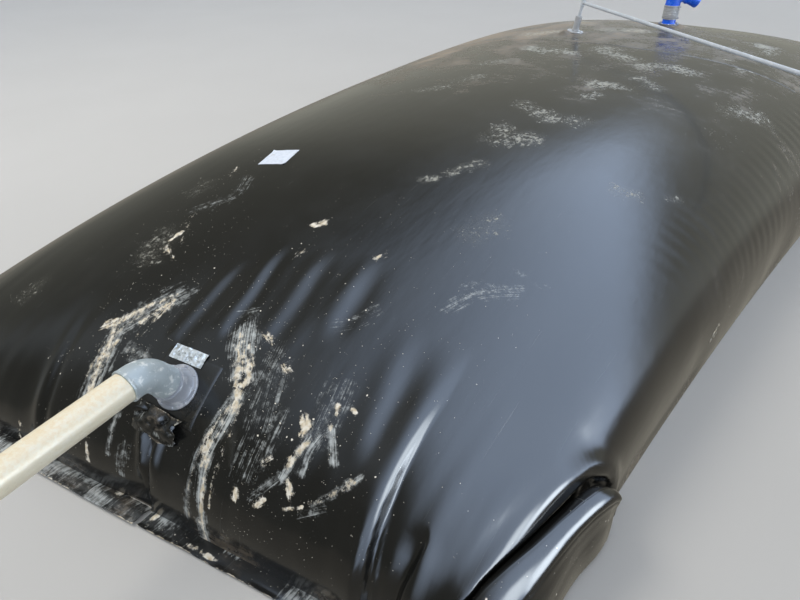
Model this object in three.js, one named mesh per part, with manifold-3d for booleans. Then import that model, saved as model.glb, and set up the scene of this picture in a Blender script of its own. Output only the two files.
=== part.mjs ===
// Tubular membrane biogas digester: an inflated black sheet bag with welded ends,
// an inlet pipe and elbow on the near end, a gas take-off and an outlet on its crown.
// Millimetres, +Z up. The origin is the middle of the bag's base.
// +X runs along the bag from the inlet end to the far end, +Y is its left side.
import * as THREE from 'three';
import Module from 'manifold-3d';
import { mergeVertices } from 'three/addons/utils/BufferGeometryUtils.js';

const wasm = await Module();
wasm.setup();

// Driving dimensions of the bag
const BAG_LENGTH = 7200;
const BAG_HEIGHT = 950;
const NEAR_END_POWER = 2.45; // roundness of the near end in side view
const FAR_END_POWER = 2.75;
const FAR_HALF_WIDTH = 2200;
const LEFT = { nearHalfWidth: 2200, midHalfWidth: 2310, power: 2.23 };
const RIGHT = { nearHalfWidth: 1190, midHalfWidth: 1540, power: 2.98 };
const HEM_SKEW = 0.142; // the near hem stands this far off square, as a slope
const SHEET = 12; // the membrane's thickness as modelled
const GAP = 0.4; // clearance between a piece and its seat
const FLOOR_SLACK = 3.4; // the walls lean in over the floor's edge by less than this

// Hems, weld seam and corner fold
const HEM_THICKNESS = 8;
const HEM_WIDTH = 100;
const LEFT_HEM_WIDTH = 60;
const PLEAT_Y = 250; // the pleat that parts the near hem in two
const PLEAT_GAP = 12;
const HEM_START = 290; // from the corner fold's side to the right stretch of the near hem
const SEAM_THICKNESS = 3;
const FOLD_RADII = [80, 112, 126, 114, 78, 12];
const FOLD_PATH = [
  [-3520, -1010, 90], [-3400, -1060, 118], [-3200, -1125, 135],
  [-2980, -1192, 140], [-2790, -1245, 160], [-2615, -1290, 195],
];
const FOLD_STEPS = 12;
const FOLD_SIDES = 12;
const BLOCK_DEPTH = 600; // the block that shapes the fold reaches this far into the bag
const UNDER_SIZE = [2000, 1000, 400];
const UNDER_CENTRE = [-3000, -1300, -200];

// Pipes and fittings
const PIPE_RADIUS = 57; // 114 mm drain pipe
const PIPE_WALL = 5;
const SOCKET_RADIUS = 64;
const FLANGE_RADIUS = 92;
const FLANGE_THICKNESS = 12;
const PATCH_THICKNESS = 3;
const INLET_LEG = 200; // from the flange's seat to the corner of the elbow
const INLET_BEND_RADIUS = 110;
const INLET_NECK = 62;
const INLET_SOCKET = 30;
const ROUND_SIDES = 20;
const FLANGE_SIDES = 24;
const THIN_SIDES = 16;
const ELBOW_STEPS = 10;
const DRILL_DEPTH = 120; // how far a bore's cut reaches below and above its flange's seat
const DRILL_RISE = 60;
const INLET_PIPE_END = [-4050, 216, 639];
const TAPE_SIZE = [150, 48, 1.5];
const FLAP_SIZE = [170, 95, 5];
const FLAP_TURN = 9; // grid degrees that the flap lies below the flange
const FLAP_CLEARANCE = 8;

const GAS_LEAN = [0.06, -0.12, 1];
const GAS_RADIUS = 12.5; // 25 mm gas pipe
const GAS_WALL = 2.5;
const GAS_FLANGE_RADIUS = 70;
const GAS_FLANGE_THICKNESS = 8;
const GAS_SLEEVE_RADIUS = 27;
const GAS_SLEEVE_HEIGHT = 115;
const GAS_TEE_HEIGHT = 228; // from the flange to the tee's branch
const GAS_TEE_RADIUS = 17;
const GAS_TEE_HALF = 30;
const GAS_TEE_ARM = 36;
const GAS_TEE_OVERCUT = 5;
const CAP_WALL = 4;
const CAP_CHAMFER = 2.5;
const CAP_DEPTH = 30; // how far a cap reaches over its pipe
const CAP_TOP = 4;
const END_CAP_DEPTH = 34;
const END_CAP_TOP = 8;
const GAS_TOP_HEIGHT = 420;
const GAS_PIPE_LENGTH = 2550;
const GAS_PIPE_DIRECTION = [-1.327, -1.763, -0.015];

const OUTLET_FLANGE_RADIUS = 88;
const COUPLING_START = 48;
const COUPLING_HEIGHT = 115;
const COUPLING_RADIUS = 66;
const CLAMP_HEIGHT = 12;
const CLAMP_WALL = 2.5;
const CLAMP_INSET = 6;
const RIB_COUNT = 4;
const RIB_DEPTH = 4;
const OUTLET_DIRECTION = [0.5, -0.75, -0.43];
const OUTLET_BEND_RADIUS = 74;
const OUTLET_SOCKET = 10;
const OUTLET_LEG = 30;
const OUTLET_END_LENGTH = 90;

const LABEL_SIZE = [205, 145, 1];

// Grid lines of the sheet, in degrees: along the bag from end to end, and across it
const NEAR_END_LINES = [-90, -84, -78, -72.5, -65.3, -57, -51, -45];
const NEAR_BODY_LINES = [-45, -39, -33, -27, -21, -15, -9, -3, 2, 6.6];
const FAR_BODY_LINES = [6.6, 11.3, 16, 20.5, 24.5, 27.1, 30, 36, 40.5, 45];
const FAR_END_LINES = [45, 51, 57, 64, 71, 78, 84, 90];
const RIGHT_LINES = [-90, -83, -76, -68, -60, -50, -40];
const MIDDLE_LINES = [-40, -32, -24, -16, -8, -1.5, 2, 5.5, 9, 16, 24, 32, 40];
const LEFT_LINES = [40, 50, 60, 68, 76, 83, 90];
const FLOOR_CUT = { along: 73, across: 66 }; // the last lines that the floor's outline follows
const INLET_SEAT = [-65.3, 5.5];
const GAS_SEAT = [11.3, 11.2];
const OUTLET_SEAT = [27.1, 0];
const TAPE_SEAT = [-59.5, 3.2];
const LABEL_SEAT = [-30.5, 24.5];
const INLET_PATCH_LINES = { along: [-72.5, -65.3, -57], across: [2, 5.5, 9] };
const OUTLET_PATCH_LINES = { along: [24.5, 27.1, 30], across: [-1.5, 2] };
const SEAM_LINES = [6.6, 8.0];

const finish = {
  sheet: new THREE.MeshStandardMaterial({ color: 0x1f2124, roughness: 0.32, metalness: 0 }),
  farSheet: new THREE.MeshStandardMaterial({ color: 0x3a342c, roughness: 0.4, metalness: 0 }),
  hem: new THREE.MeshStandardMaterial({ color: 0x2c2b29, roughness: 0.55, metalness: 0 }),
  cream: new THREE.MeshStandardMaterial({ color: 0xd8cfae, roughness: 0.4, metalness: 0 }),
  grey: new THREE.MeshStandardMaterial({ color: 0x8d969a, roughness: 0.42, metalness: 0 }),
  gasGrey: new THREE.MeshStandardMaterial({ color: 0x9aa3ab, roughness: 0.4, metalness: 0 }),
  blue: new THREE.MeshStandardMaterial({ color: 0x1552cf, roughness: 0.35, metalness: 0 }),
  rubber: new THREE.MeshStandardMaterial({ color: 0x4a4d50, roughness: 0.6, metalness: 0 }),
  steel: new THREE.MeshStandardMaterial({ color: 0xa8abad, roughness: 0.35, metalness: 1 }),
  tape: new THREE.MeshStandardMaterial({ color: 0xb4c0c6, roughness: 0.35, metalness: 0.3 }),
  label: new THREE.MeshStandardMaterial({ color: 0xdde3ea, roughness: 0.5, metalness: 0 }),
};

const digester = new THREE.Group();
const vector = (list) => new THREE.Vector3(...list);
const radians = THREE.MathUtils.degToRad;

function addNode(name, geometry, material) {
  const mesh = new THREE.Mesh(geometry, material);
  mesh.name = name;
  mesh.updateMatrixWorld(true);
  digester.add(mesh);
  return mesh;
}

// The bag's form

function signedPower(value, exponent) {
  return Math.sign(value) * Math.abs(value) ** exponent;
}

function halfWidth(side, t) {
  const { nearHalfWidth: near, midHalfWidth: mid } = side;
  const spread = (FAR_HALF_WIDTH - near) / 2;
  const bulge = (FAR_HALF_WIDTH + near) / 2 - mid;
  return mid + spread * t + bulge * t * t;
}

// A point of the bag's skin; along runs from -90 at the near hem to 90 at the far one,
// across from -90 at the right foot to 90 at the left one, and inset shrinks the form.
function skinPoint(along, across, inset) {
  const [phi, psi] = [radians(along), radians(across)];
  const power = along < 0 ? NEAR_END_POWER : FAR_END_POWER;
  const t = signedPower(Math.sin(phi), 2 / power);
  const rise = Math.abs(Math.cos(phi)) ** (2 / power);
  const side = across > 0 ? LEFT : RIGHT;
  const v = signedPower(Math.sin(psi), 2 / side.power);
  const arch = Math.abs(Math.cos(psi)) ** (2 / side.power);
  const y = (halfWidth(side, t) - inset) * v;
  const skew = t < 0 ? HEM_SKEW * y * t * t : 0;
  return new THREE.Vector3((BAG_LENGTH / 2 - inset) * t - skew, y, (BAG_HEIGHT - inset) * rise * arch);
}

function skinNormal(along, across) {
  const step = 0.2;
  const a = skinPoint(along + step, across, 0).sub(skinPoint(along - step, across, 0));
  const b = skinPoint(along, across + step, 0).sub(skinPoint(along, across - step, 0));
  return a.cross(b).normalize();
}

// Lists of grid lines that meet, as one list.
function joined(...lists) {
  return lists.flatMap((lines, k) => (k ? lines.slice(1) : lines));
}

// A closed piece of sheet over a stretch of grid lines, between two insets.
// Each cell is split on the diagonal from its outer corner to the bag's middle,
// and each edge face is split so that it meets the next piece's edge face.
function sheetGeometry(alongLines, acrossLines, outerInset, innerInset) {
  const rows = alongLines.length;
  const columns = acrossLines.length;
  const positions = [];
  for (const inset of [outerInset, innerInset]) {
    for (const along of alongLines) {
      for (const across of acrossLines) {
        positions.push(...skinPoint(along, across, inset).toArray());
      }
    }
  }
  const at = (layer, i, j) => (layer * rows + i) * columns + j;
  const index = [];
  const quad = (a, b, c, d) => index.push(a, b, c, a, c, d);
  for (let i = 0; i < rows - 1; i += 1) {
    for (let j = 0; j < columns - 1; j += 1) {
      const nearHalf = alongLines[i] + alongLines[i + 1] < 0;
      const rightHalf = acrossLines[j] + acrossLines[j + 1] < 0;
      const turn = nearHalf === rightHalf ? 0 : 1;
      const corners = [[i, j], [i + 1, j], [i + 1, j + 1], [i, j + 1]];
      const [a, b, c, d] = [0, 1, 2, 3].map((k) => corners[(k + turn) % 4]);
      quad(at(0, ...a), at(0, ...b), at(0, ...c), at(0, ...d));
      quad(at(1, ...a), at(1, ...d), at(1, ...c), at(1, ...b));
    }
  }
  for (let j = 0; j < columns - 1; j += 1) {
    quad(at(0, 0, j), at(0, 0, j + 1), at(1, 0, j + 1), at(1, 0, j));
    index.push(at(0, rows - 1, j), at(1, rows - 1, j + 1), at(0, rows - 1, j + 1));
    index.push(at(0, rows - 1, j), at(1, rows - 1, j), at(1, rows - 1, j + 1));
  }
  for (let i = 0; i < rows - 1; i += 1) {
    index.push(at(0, i, 0), at(1, i + 1, 0), at(0, i + 1, 0));
    index.push(at(0, i, 0), at(1, i, 0), at(1, i + 1, 0));
    const last = columns - 1;
    quad(at(0, i, last), at(0, i + 1, last), at(1, i + 1, last), at(1, i, last));
  }
  const geometry = new THREE.BufferGeometry();
  geometry.setAttribute('position', new THREE.Float32BufferAttribute(positions, 3));
  geometry.setIndex(index);
  return geometry;
}

// Joining and cutting

function toSolid(geometry) {
  const plain = geometry.clone();
  plain.deleteAttribute('normal');
  plain.deleteAttribute('uv');
  const merged = mergeVertices(plain, 1e-3);
  const used = [];
  const triangles = merged.index.array;
  for (let k = 0; k < triangles.length; k += 3) {
    const [a, b, c] = triangles.slice(k, k + 3);
    if (a !== b && b !== c && a !== c) {
      used.push(a, b, c);
    }
  }
  return new wasm.Manifold(new wasm.Mesh({
    numProp: 3,
    vertProperties: new Float32Array(merged.attributes.position.array),
    triVerts: new Uint32Array(used),
  }));
}

function toGeometry(solid) {
  const { vertProperties, triVerts } = solid.getMesh();
  const geometry = new THREE.BufferGeometry();
  geometry.setAttribute('position', new THREE.Float32BufferAttribute(vertProperties, 3));
  geometry.setIndex(Array.from(triVerts));
  return geometry;
}

function united(geometries) {
  return toGeometry(geometries.map(toSolid).reduce((a, b) => a.add(b)));
}

function cut(geometry, ...tools) {
  return toGeometry(tools.map(toSolid).reduce((a, b) => a.subtract(b), toSolid(geometry)));
}

// Round pieces

// Turns a profile of [radius, height] pairs about a line that starts at origin.
function turned(profile, origin, direction, sides = ROUND_SIDES) {
  const points = profile.map(([radius, height]) => new THREE.Vector2(radius, height));
  const geometry = new THREE.LatheGeometry(points, sides);
  const turn = new THREE.Quaternion().setFromUnitVectors(new THREE.Vector3(0, 1, 0), direction);
  geometry.applyQuaternion(turn);
  return geometry.translate(origin.x, origin.y, origin.z);
}

function pipe(outer, inner, from, to, sides = ROUND_SIDES) {
  const length = to.distanceTo(from);
  const profile = [[inner, 0], [outer, 0], [outer, length], [inner, length], [inner, 0]];
  return turned(profile, from, to.clone().sub(from).normalize(), sides);
}

function rod(radius, from, to, sides = ROUND_SIDES) {
  const length = to.distanceTo(from);
  const profile = [[0, 0], [radius, 0], [radius, length], [0, length]];
  return turned(profile, from, to.clone().sub(from).normalize(), sides);
}

function ringShape(outer, inner, sides) {
  const circle = (radius) => Array.from({ length: sides }, (_, k) => {
    const angle = (2 * Math.PI * k) / sides;
    return new THREE.Vector2(radius * Math.cos(angle), radius * Math.sin(angle));
  });
  const shape = new THREE.Shape(circle(outer));
  if (inner > 0) {
    shape.holes.push(new THREE.Path(circle(inner)));
  }
  return shape;
}

// The centre line of an elbow: an arc that joins two directions at a corner,
// with a straight lead before and after it.
class BendCurve extends THREE.Curve {
  constructor(corner, inward, outward, radius, leadIn, leadOut) {
    super();
    this.angle = inward.angleTo(outward);
    const reach = radius * Math.tan(this.angle / 2);
    this.start = corner.clone().addScaledVector(inward, -reach);
    this.end = corner.clone().addScaledVector(outward, reach);
    this.inward = inward;
    this.outward = outward;
    this.side = outward.clone().addScaledVector(inward, -inward.dot(outward)).normalize();
    this.radius = radius;
    this.leads = [leadIn, leadOut];
  }

  getPoint(t, target = new THREE.Vector3()) {
    const [leadIn, leadOut] = this.leads;
    const arc = this.radius * this.angle;
    const run = t * (leadIn + arc + leadOut) - leadIn;
    if (run <= 0) {
      return target.copy(this.start).addScaledVector(this.inward, run);
    }
    if (run >= arc) {
      return target.copy(this.end).addScaledVector(this.outward, run - arc);
    }
    const turn = run / this.radius;
    return target.copy(this.start)
      .addScaledVector(this.inward, this.radius * Math.sin(turn))
      .addScaledVector(this.side, this.radius * (1 - Math.cos(turn)));
  }
}

function swept(shape, curve, steps) {
  const settings = { steps, extrudePath: curve, bevelEnabled: false, curveSegments: 1 };
  return new THREE.ExtrudeGeometry(shape, settings);
}

// Seating

// How far points can travel along a direction before they meet one of the targets.
function travel(points, direction, targets) {
  const caster = new THREE.Raycaster();
  let shortest = Infinity;
  for (const point of points) {
    caster.set(point, direction);
    const [hit] = caster.intersectObjects(targets, false);
    if (hit && hit.distance < shortest) {
      shortest = hit.distance;
    }
  }
  return shortest;
}

function discPoints(centre, normal, radius) {
  const [u, v] = planeAxes(normal);
  const points = [centre.clone()];
  const rings = 5;
  const spokes = 48;
  for (let k = 1; k <= rings; k += 1) {
    for (let s = 0; s < spokes; s += 1) {
      const angle = (2 * Math.PI * s) / spokes;
      const r = (radius * k) / rings;
      const [a, b] = [r * Math.cos(angle), r * Math.sin(angle)];
      points.push(centre.clone().addScaledVector(u, a).addScaledVector(v, b));
    }
  }
  return points;
}

// Across the bag and down its slope, both square to a normal.
function planeAxes(normal) {
  const up = new THREE.Vector3(0, 1, 0).cross(normal).normalize();
  return [normal.clone().cross(up).normalize(), up.negate()];
}

// The centre of a flat underside laid on the targets with its middle over a seat.
function seatCentre(seat, normal, points, targets) {
  const lift = 200;
  const raised = points.map((point) => point.clone().addScaledVector(normal, lift));
  const drop = travel(raised, normal.clone().negate(), targets);
  return seat.clone().addScaledVector(normal, lift - drop + GAP);
}

function seatedDisc(seat, normal, radius, targets) {
  return seatCentre(seat, normal, discPoints(seat, normal, radius), targets);
}

function seatedPlate([across, up, thickness], seat, normal, targets) {
  const [u, v] = planeAxes(normal);
  const points = [];
  const cells = 12;
  for (let i = 0; i <= cells; i += 1) {
    for (let j = 0; j <= cells; j += 1) {
      const [a, b] = [(i / cells - 0.5) * across, (j / cells - 0.5) * up];
      points.push(seat.clone().addScaledVector(u, a).addScaledVector(v, b));
    }
  }
  const centre = seatCentre(seat, normal, points, targets);
  const geometry = new THREE.BoxGeometry(across, up, thickness);
  geometry.translate(0, 0, thickness / 2);
  geometry.applyMatrix4(new THREE.Matrix4().makeBasis(u, v, u.clone().cross(v)));
  return geometry.translate(centre.x, centre.y, centre.z);
}

// The sheet bag

// The floor lies inside the walls' feet. Its corners are cut where the walls are lower than it is thick.
function floorGeometry() {
  const inset = SHEET + FLOOR_SLACK;
  const alongLines = joined(NEAR_END_LINES, NEAR_BODY_LINES, FAR_BODY_LINES, FAR_END_LINES)
    .filter((line) => Math.abs(line) <= FLOOR_CUT.along);
  const acrossLines = joined(RIGHT_LINES, MIDDLE_LINES, LEFT_LINES)
    .filter((line) => Math.abs(line) <= FLOOR_CUT.across);
  const outline = [
    ...alongLines.map((line) => skinPoint(line, -90, inset)),
    ...acrossLines.map((line) => skinPoint(90, line, inset)),
    ...alongLines.toReversed().map((line) => skinPoint(line, 90, inset)),
    ...acrossLines.toReversed().map((line) => skinPoint(-90, line, inset)),
  ];
  const shape = new THREE.Shape(outline.map(({ x, y }) => new THREE.Vector2(x, y)));
  return new THREE.ExtrudeGeometry(shape, { depth: SHEET, bevelEnabled: false });
}

function hemGeometry(fromY, toY, width, end) {
  const edge = (y) => (end < 0 ? -BAG_LENGTH / 2 - HEM_SKEW * y : BAG_LENGTH / 2) + end * GAP;
  const shape = new THREE.Shape([
    new THREE.Vector2(edge(fromY), fromY), new THREE.Vector2(edge(toY), toY),
    new THREE.Vector2(edge(toY) + end * width, toY), new THREE.Vector2(edge(fromY) + end * width, fromY),
  ]);
  return new THREE.ExtrudeGeometry(shape, { depth: HEM_THICKNESS, bevelEnabled: false });
}

// The folded near right corner: a full lobe of sheet that lies against the bag's foot.
function foldGeometry() {
  const centres = FOLD_PATH.map(vector);
  const curve = new THREE.CatmullRomCurve3(centres);
  const [steps, sides] = [FOLD_STEPS, FOLD_SIDES];
  const frames = curve.computeFrenetFrames(steps, false);
  const positions = [];
  const index = [];
  for (let k = 0; k <= steps; k += 1) {
    const share = (k / steps) * (FOLD_RADII.length - 1);
    const low = Math.min(Math.floor(share), FOLD_RADII.length - 2);
    const radius = THREE.MathUtils.lerp(FOLD_RADII[low], FOLD_RADII[low + 1], share - low);
    const centre = curve.getPoint(k / steps);
    for (let s = 0; s < sides; s += 1) {
      const angle = (2 * Math.PI * s) / sides;
      const point = centre.clone()
        .addScaledVector(frames.normals[k], radius * Math.cos(angle))
        .addScaledVector(frames.binormals[k], radius * Math.sin(angle));
      positions.push(...point.toArray());
    }
  }
  const at = (k, s) => k * sides + (s % sides);
  for (let k = 0; k < steps; k += 1) {
    for (let s = 0; s < sides; s += 1) {
      index.push(at(k, s), at(k, s + 1), at(k + 1, s + 1), at(k, s), at(k + 1, s + 1), at(k + 1, s));
    }
  }
  for (let s = 1; s < sides - 1; s += 1) {
    index.push(at(0, 0), at(0, s + 1), at(0, s));
    index.push(at(steps, 0), at(steps, s), at(steps, s + 1));
  }
  const lobe = new THREE.BufferGeometry();
  lobe.setAttribute('position', new THREE.Float32BufferAttribute(positions, 3));
  lobe.setIndex(index);
  return lobe;
}

// The bag's near part as one thick block, grown by the gap: it shapes what lies against it.
function bagBlock() {
  const along = joined(NEAR_END_LINES, NEAR_BODY_LINES);
  const across = joined(RIGHT_LINES, MIDDLE_LINES);
  return sheetGeometry(along, across, -GAP, BLOCK_DEPTH);
}

function addBag() {
  const sheet = (along, across) => sheetGeometry(along, across, 0, SHEET);
  const bands = [
    ['near_end', NEAR_END_LINES, ['right', 'middle', 'left'], finish.sheet],
    ['near_body', NEAR_BODY_LINES, ['right_side', 'crown', 'left_side'], finish.sheet],
    ['far_body', FAR_BODY_LINES, ['right_side', 'crown', 'left_side'], finish.farSheet],
    ['far_end', FAR_END_LINES, ['right', 'middle', 'left'], finish.farSheet],
  ];
  const strips = [RIGHT_LINES, MIDDLE_LINES, LEFT_LINES];
  const panels = {};
  for (const [band, along, names, material] of bands) {
    names.forEach((name, k) => {
      panels[`${band}_${name}`] = { geometry: sheet(along, strips[k]), material };
    });
  }
  return panels;
}

const panels = addBag();
const panelMesh = (name) => new THREE.Mesh(panels[name].geometry, panels[name].material);
const rigid = (mesh) => {
  mesh.updateMatrixWorld(true);
  return mesh;
};

// Inlet: patch, flange, neck, elbow and pipe

function addInlet() {
  const wall = rigid(panelMesh('near_end_middle'));
  const seat = skinPoint(...INLET_SEAT, 0);
  const normal = skinNormal(...INLET_SEAT);
  const { along, across } = INLET_PATCH_LINES;
  const patchBlank = sheetGeometry(along, across, -GAP - PATCH_THICKNESS, -GAP);
  const patchMesh = rigid(new THREE.Mesh(patchBlank, finish.sheet));
  const base = seatedDisc(seat, normal, FLANGE_RADIUS, [wall, patchMesh]);
  const bore = PIPE_RADIUS - PIPE_WALL;
  const deep = base.clone().addScaledVector(normal, -DRILL_DEPTH);
  const drill = rod(bore, deep, base.clone().addScaledVector(normal, DRILL_RISE));
  panels.near_end_middle.geometry = cut(panels.near_end_middle.geometry, drill);
  addNode('inlet_patch', cut(patchBlank, drill), finish.sheet);

  const flangeTop = base.clone().addScaledVector(normal, FLANGE_THICKNESS);
  addNode('inlet_flange', pipe(FLANGE_RADIUS, bore, base, flangeTop, FLANGE_SIDES), finish.grey);
  const neckStart = flangeTop.clone().addScaledVector(normal, GAP);
  const neckEnd = neckStart.clone().addScaledVector(normal, INLET_NECK);
  addNode('inlet_neck', pipe(PIPE_RADIUS, bore, neckStart, neckEnd), finish.grey);

  const corner = seat.clone().addScaledVector(normal, INLET_LEG);
  const pipeEnd = vector(INLET_PIPE_END);
  const inward = corner.clone().sub(pipeEnd).normalize();
  const outward = normal.clone().negate();
  const reach = INLET_BEND_RADIUS * Math.tan(inward.angleTo(outward) / 2);
  const leadOut = corner.distanceTo(neckEnd) - reach - GAP;
  const bend = new BendCurve(corner, inward, outward, INLET_BEND_RADIUS, INLET_SOCKET, leadOut);
  addNode('inlet_elbow', swept(ringShape(SOCKET_RADIUS, bore, ROUND_SIDES), bend, ELBOW_STEPS), finish.grey);
  const pipeTip = bend.start.clone().addScaledVector(inward, -INLET_SOCKET - GAP);
  addNode('inlet_pipe', pipe(PIPE_RADIUS, bore, pipeEnd, pipeTip), finish.cream);

  const tapeSeat = skinPoint(...TAPE_SEAT, 0);
  const tape = seatedPlate(TAPE_SIZE, tapeSeat, skinNormal(...TAPE_SEAT), [wall, patchMesh]);
  addNode('inlet_tape', tape, finish.tape);
  const flapNormal = skinNormal(INLET_SEAT[0] - FLAP_TURN, INLET_SEAT[1]);
  const flapDrop = FLANGE_RADIUS + FLAP_SIZE[1] / 2 + FLAP_CLEARANCE;
  const flapSeat = seat.clone().addScaledVector(planeAxes(flapNormal)[1], flapDrop);
  const flap = seatedPlate(FLAP_SIZE, flapSeat, flapNormal, [wall, patchMesh]);
  addNode('inlet_flap', flap, finish.sheet);
}

// Gas take-off: flange, sleeve, riser, tee, capped top and the pipe over the crown

// A cap's section, as [radius, height] pairs, from its rim over the pipe to its closed top.
function capProfile(depth, top) {
  const inner = GAS_RADIUS + GAP;
  const outer = GAS_RADIUS + CAP_WALL;
  return [
    [0, depth + top], [0, depth + GAP], [inner, depth + GAP], [inner, 0],
    [outer, 0], [outer, depth], [outer - CAP_CHAMFER, depth + top], [0, depth + top],
  ];
}

function addGasLine() {
  const crown = rigid(panelMesh('far_body_crown'));
  const lean = vector(GAS_LEAN).normalize();
  const seat = skinPoint(...GAS_SEAT, 0);
  const base = seatedDisc(seat, lean, GAS_FLANGE_RADIUS, [crown]);
  const along = (height) => base.clone().addScaledVector(lean, height);
  const bore = GAS_RADIUS - GAS_WALL;
  const drill = rod(bore, along(-DRILL_DEPTH), along(DRILL_RISE));
  panels.far_body_crown.geometry = cut(panels.far_body_crown.geometry, drill);

  const sleeveStart = GAS_FLANGE_THICKNESS + GAP;
  const sleeveEnd = sleeveStart + GAS_SLEEVE_HEIGHT;
  const flange = pipe(GAS_FLANGE_RADIUS, bore, base, along(GAS_FLANGE_THICKNESS), FLANGE_SIDES);
  addNode('gas_flange', flange, finish.rubber);
  addNode('gas_sleeve', pipe(GAS_SLEEVE_RADIUS, bore, along(sleeveStart), along(sleeveEnd)), finish.gasGrey);
  const [teeStart, teeEnd] = [GAS_TEE_HEIGHT - GAS_TEE_HALF, GAS_TEE_HEIGHT + GAS_TEE_HALF];
  const riser = pipe(GAS_RADIUS, bore, along(sleeveEnd + GAP), along(teeStart - GAP), THIN_SIDES);
  addNode('gas_riser', riser, finish.gasGrey);

  const centre = along(GAS_TEE_HEIGHT);
  const branch = vector(GAS_PIPE_DIRECTION).normalize();
  const branchAt = (distance) => centre.clone().addScaledVector(branch, distance);
  const run = rod(GAS_TEE_RADIUS, along(teeStart), along(teeEnd));
  const arm = rod(GAS_TEE_RADIUS, centre, branchAt(GAS_TEE_ARM));
  const runBore = rod(bore, along(teeStart - GAS_TEE_OVERCUT), along(teeEnd + GAS_TEE_OVERCUT), THIN_SIDES);
  const armBore = rod(bore, centre, branchAt(GAS_TEE_ARM + GAS_TEE_OVERCUT), THIN_SIDES);
  addNode('gas_tee', cut(united([run, arm]), runBore, armBore), finish.gasGrey);

  const top = pipe(GAS_RADIUS, bore, along(teeEnd + GAP), along(GAS_TOP_HEIGHT), THIN_SIDES);
  addNode('gas_riser_top', top, finish.gasGrey);
  const cap = turned(capProfile(CAP_DEPTH, CAP_TOP), along(GAS_TOP_HEIGHT - CAP_DEPTH), lean);
  addNode('gas_cap', cap, finish.gasGrey);

  const [from, to] = [branchAt(GAS_TEE_ARM + GAP), branchAt(GAS_PIPE_LENGTH)];
  addNode('gas_pipe', pipe(GAS_RADIUS, bore, from, to, THIN_SIDES), finish.gasGrey);
  const endCapStart = branchAt(GAS_PIPE_LENGTH - END_CAP_DEPTH);
  const endCap = turned(capProfile(END_CAP_DEPTH, END_CAP_TOP), endCapStart, branch);
  addNode('gas_pipe_end_cap', endCap, finish.gasGrey);
}

// Outlet: patch, flange, stub, ribbed coupling with two clamps, elbow and pipe end

function addOutlet() {
  const crown = rigid(panelMesh('far_body_crown'));
  const { along, across } = OUTLET_PATCH_LINES;
  const patchBlank = sheetGeometry(along, across, -GAP - PATCH_THICKNESS, -GAP);
  const patchMesh = rigid(new THREE.Mesh(patchBlank, finish.sheet));
  const up = new THREE.Vector3(0, 0, 1);
  const seat = skinPoint(...OUTLET_SEAT, 0);
  const base = seatedDisc(seat, up, OUTLET_FLANGE_RADIUS, [crown, patchMesh]);
  const at = (height) => base.clone().addScaledVector(up, height);
  const bore = PIPE_RADIUS - PIPE_WALL;
  const drill = rod(bore, at(-DRILL_DEPTH), at(DRILL_RISE));
  panels.far_body_crown.geometry = cut(panels.far_body_crown.geometry, drill);
  addNode('outlet_patch', cut(patchBlank, drill), finish.farSheet);
  const flange = pipe(OUTLET_FLANGE_RADIUS, bore, base, at(FLANGE_THICKNESS), FLANGE_SIDES);
  addNode('outlet_flange', flange, finish.blue);
  const [low, high] = [COUPLING_START, COUPLING_START + COUPLING_HEIGHT];
  addNode('outlet_stub', pipe(PIPE_RADIUS, bore, at(FLANGE_THICKNESS + GAP), at(high)), finish.blue);

  const inner = PIPE_RADIUS + GAP;
  const ribs = [];
  const ribPitch = (COUPLING_HEIGHT - 4 * CLAMP_HEIGHT) / RIB_COUNT;
  for (let k = 0; k < RIB_COUNT; k += 1) {
    const foot = low + 2 * CLAMP_HEIGHT + ribPitch * k;
    ribs.push([COUPLING_RADIUS, foot], [COUPLING_RADIUS + RIB_DEPTH, foot + ribPitch / 2]);
  }
  const sleeveProfile = [
    [inner, low], [COUPLING_RADIUS, low], ...ribs,
    [COUPLING_RADIUS, high - 2 * CLAMP_HEIGHT], [COUPLING_RADIUS, high], [inner, high], [inner, low],
  ];
  addNode('outlet_coupling', turned(sleeveProfile, base, up), finish.rubber);
  const clampInner = COUPLING_RADIUS + GAP;
  const clampFeet = {
    outlet_clamp_lower: low + CLAMP_INSET,
    outlet_clamp_upper: high - CLAMP_INSET - CLAMP_HEIGHT,
  };
  for (const [name, foot] of Object.entries(clampFeet)) {
    const band = pipe(clampInner + CLAMP_WALL, clampInner, at(foot), at(foot + CLAMP_HEIGHT));
    addNode(name, band, finish.steel);
  }

  const outward = vector(OUTLET_DIRECTION).normalize();
  const reach = OUTLET_BEND_RADIUS * Math.tan(up.angleTo(outward) / 2);
  const corner = at(high + GAP + OUTLET_SOCKET + reach);
  const bend = new BendCurve(corner, up, outward, OUTLET_BEND_RADIUS, OUTLET_SOCKET, OUTLET_LEG);
  addNode('outlet_elbow', swept(ringShape(SOCKET_RADIUS, bore, ROUND_SIDES), bend, ELBOW_STEPS), finish.blue);
  const tipStart = bend.end.clone().addScaledVector(outward, OUTLET_LEG + GAP);
  const tipEnd = tipStart.clone().addScaledVector(outward, OUTLET_END_LENGTH);
  addNode('outlet_pipe_end', pipe(PIPE_RADIUS, bore, tipStart, tipEnd), finish.blue);
}

addInlet();
addGasLine();
addOutlet();

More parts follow.
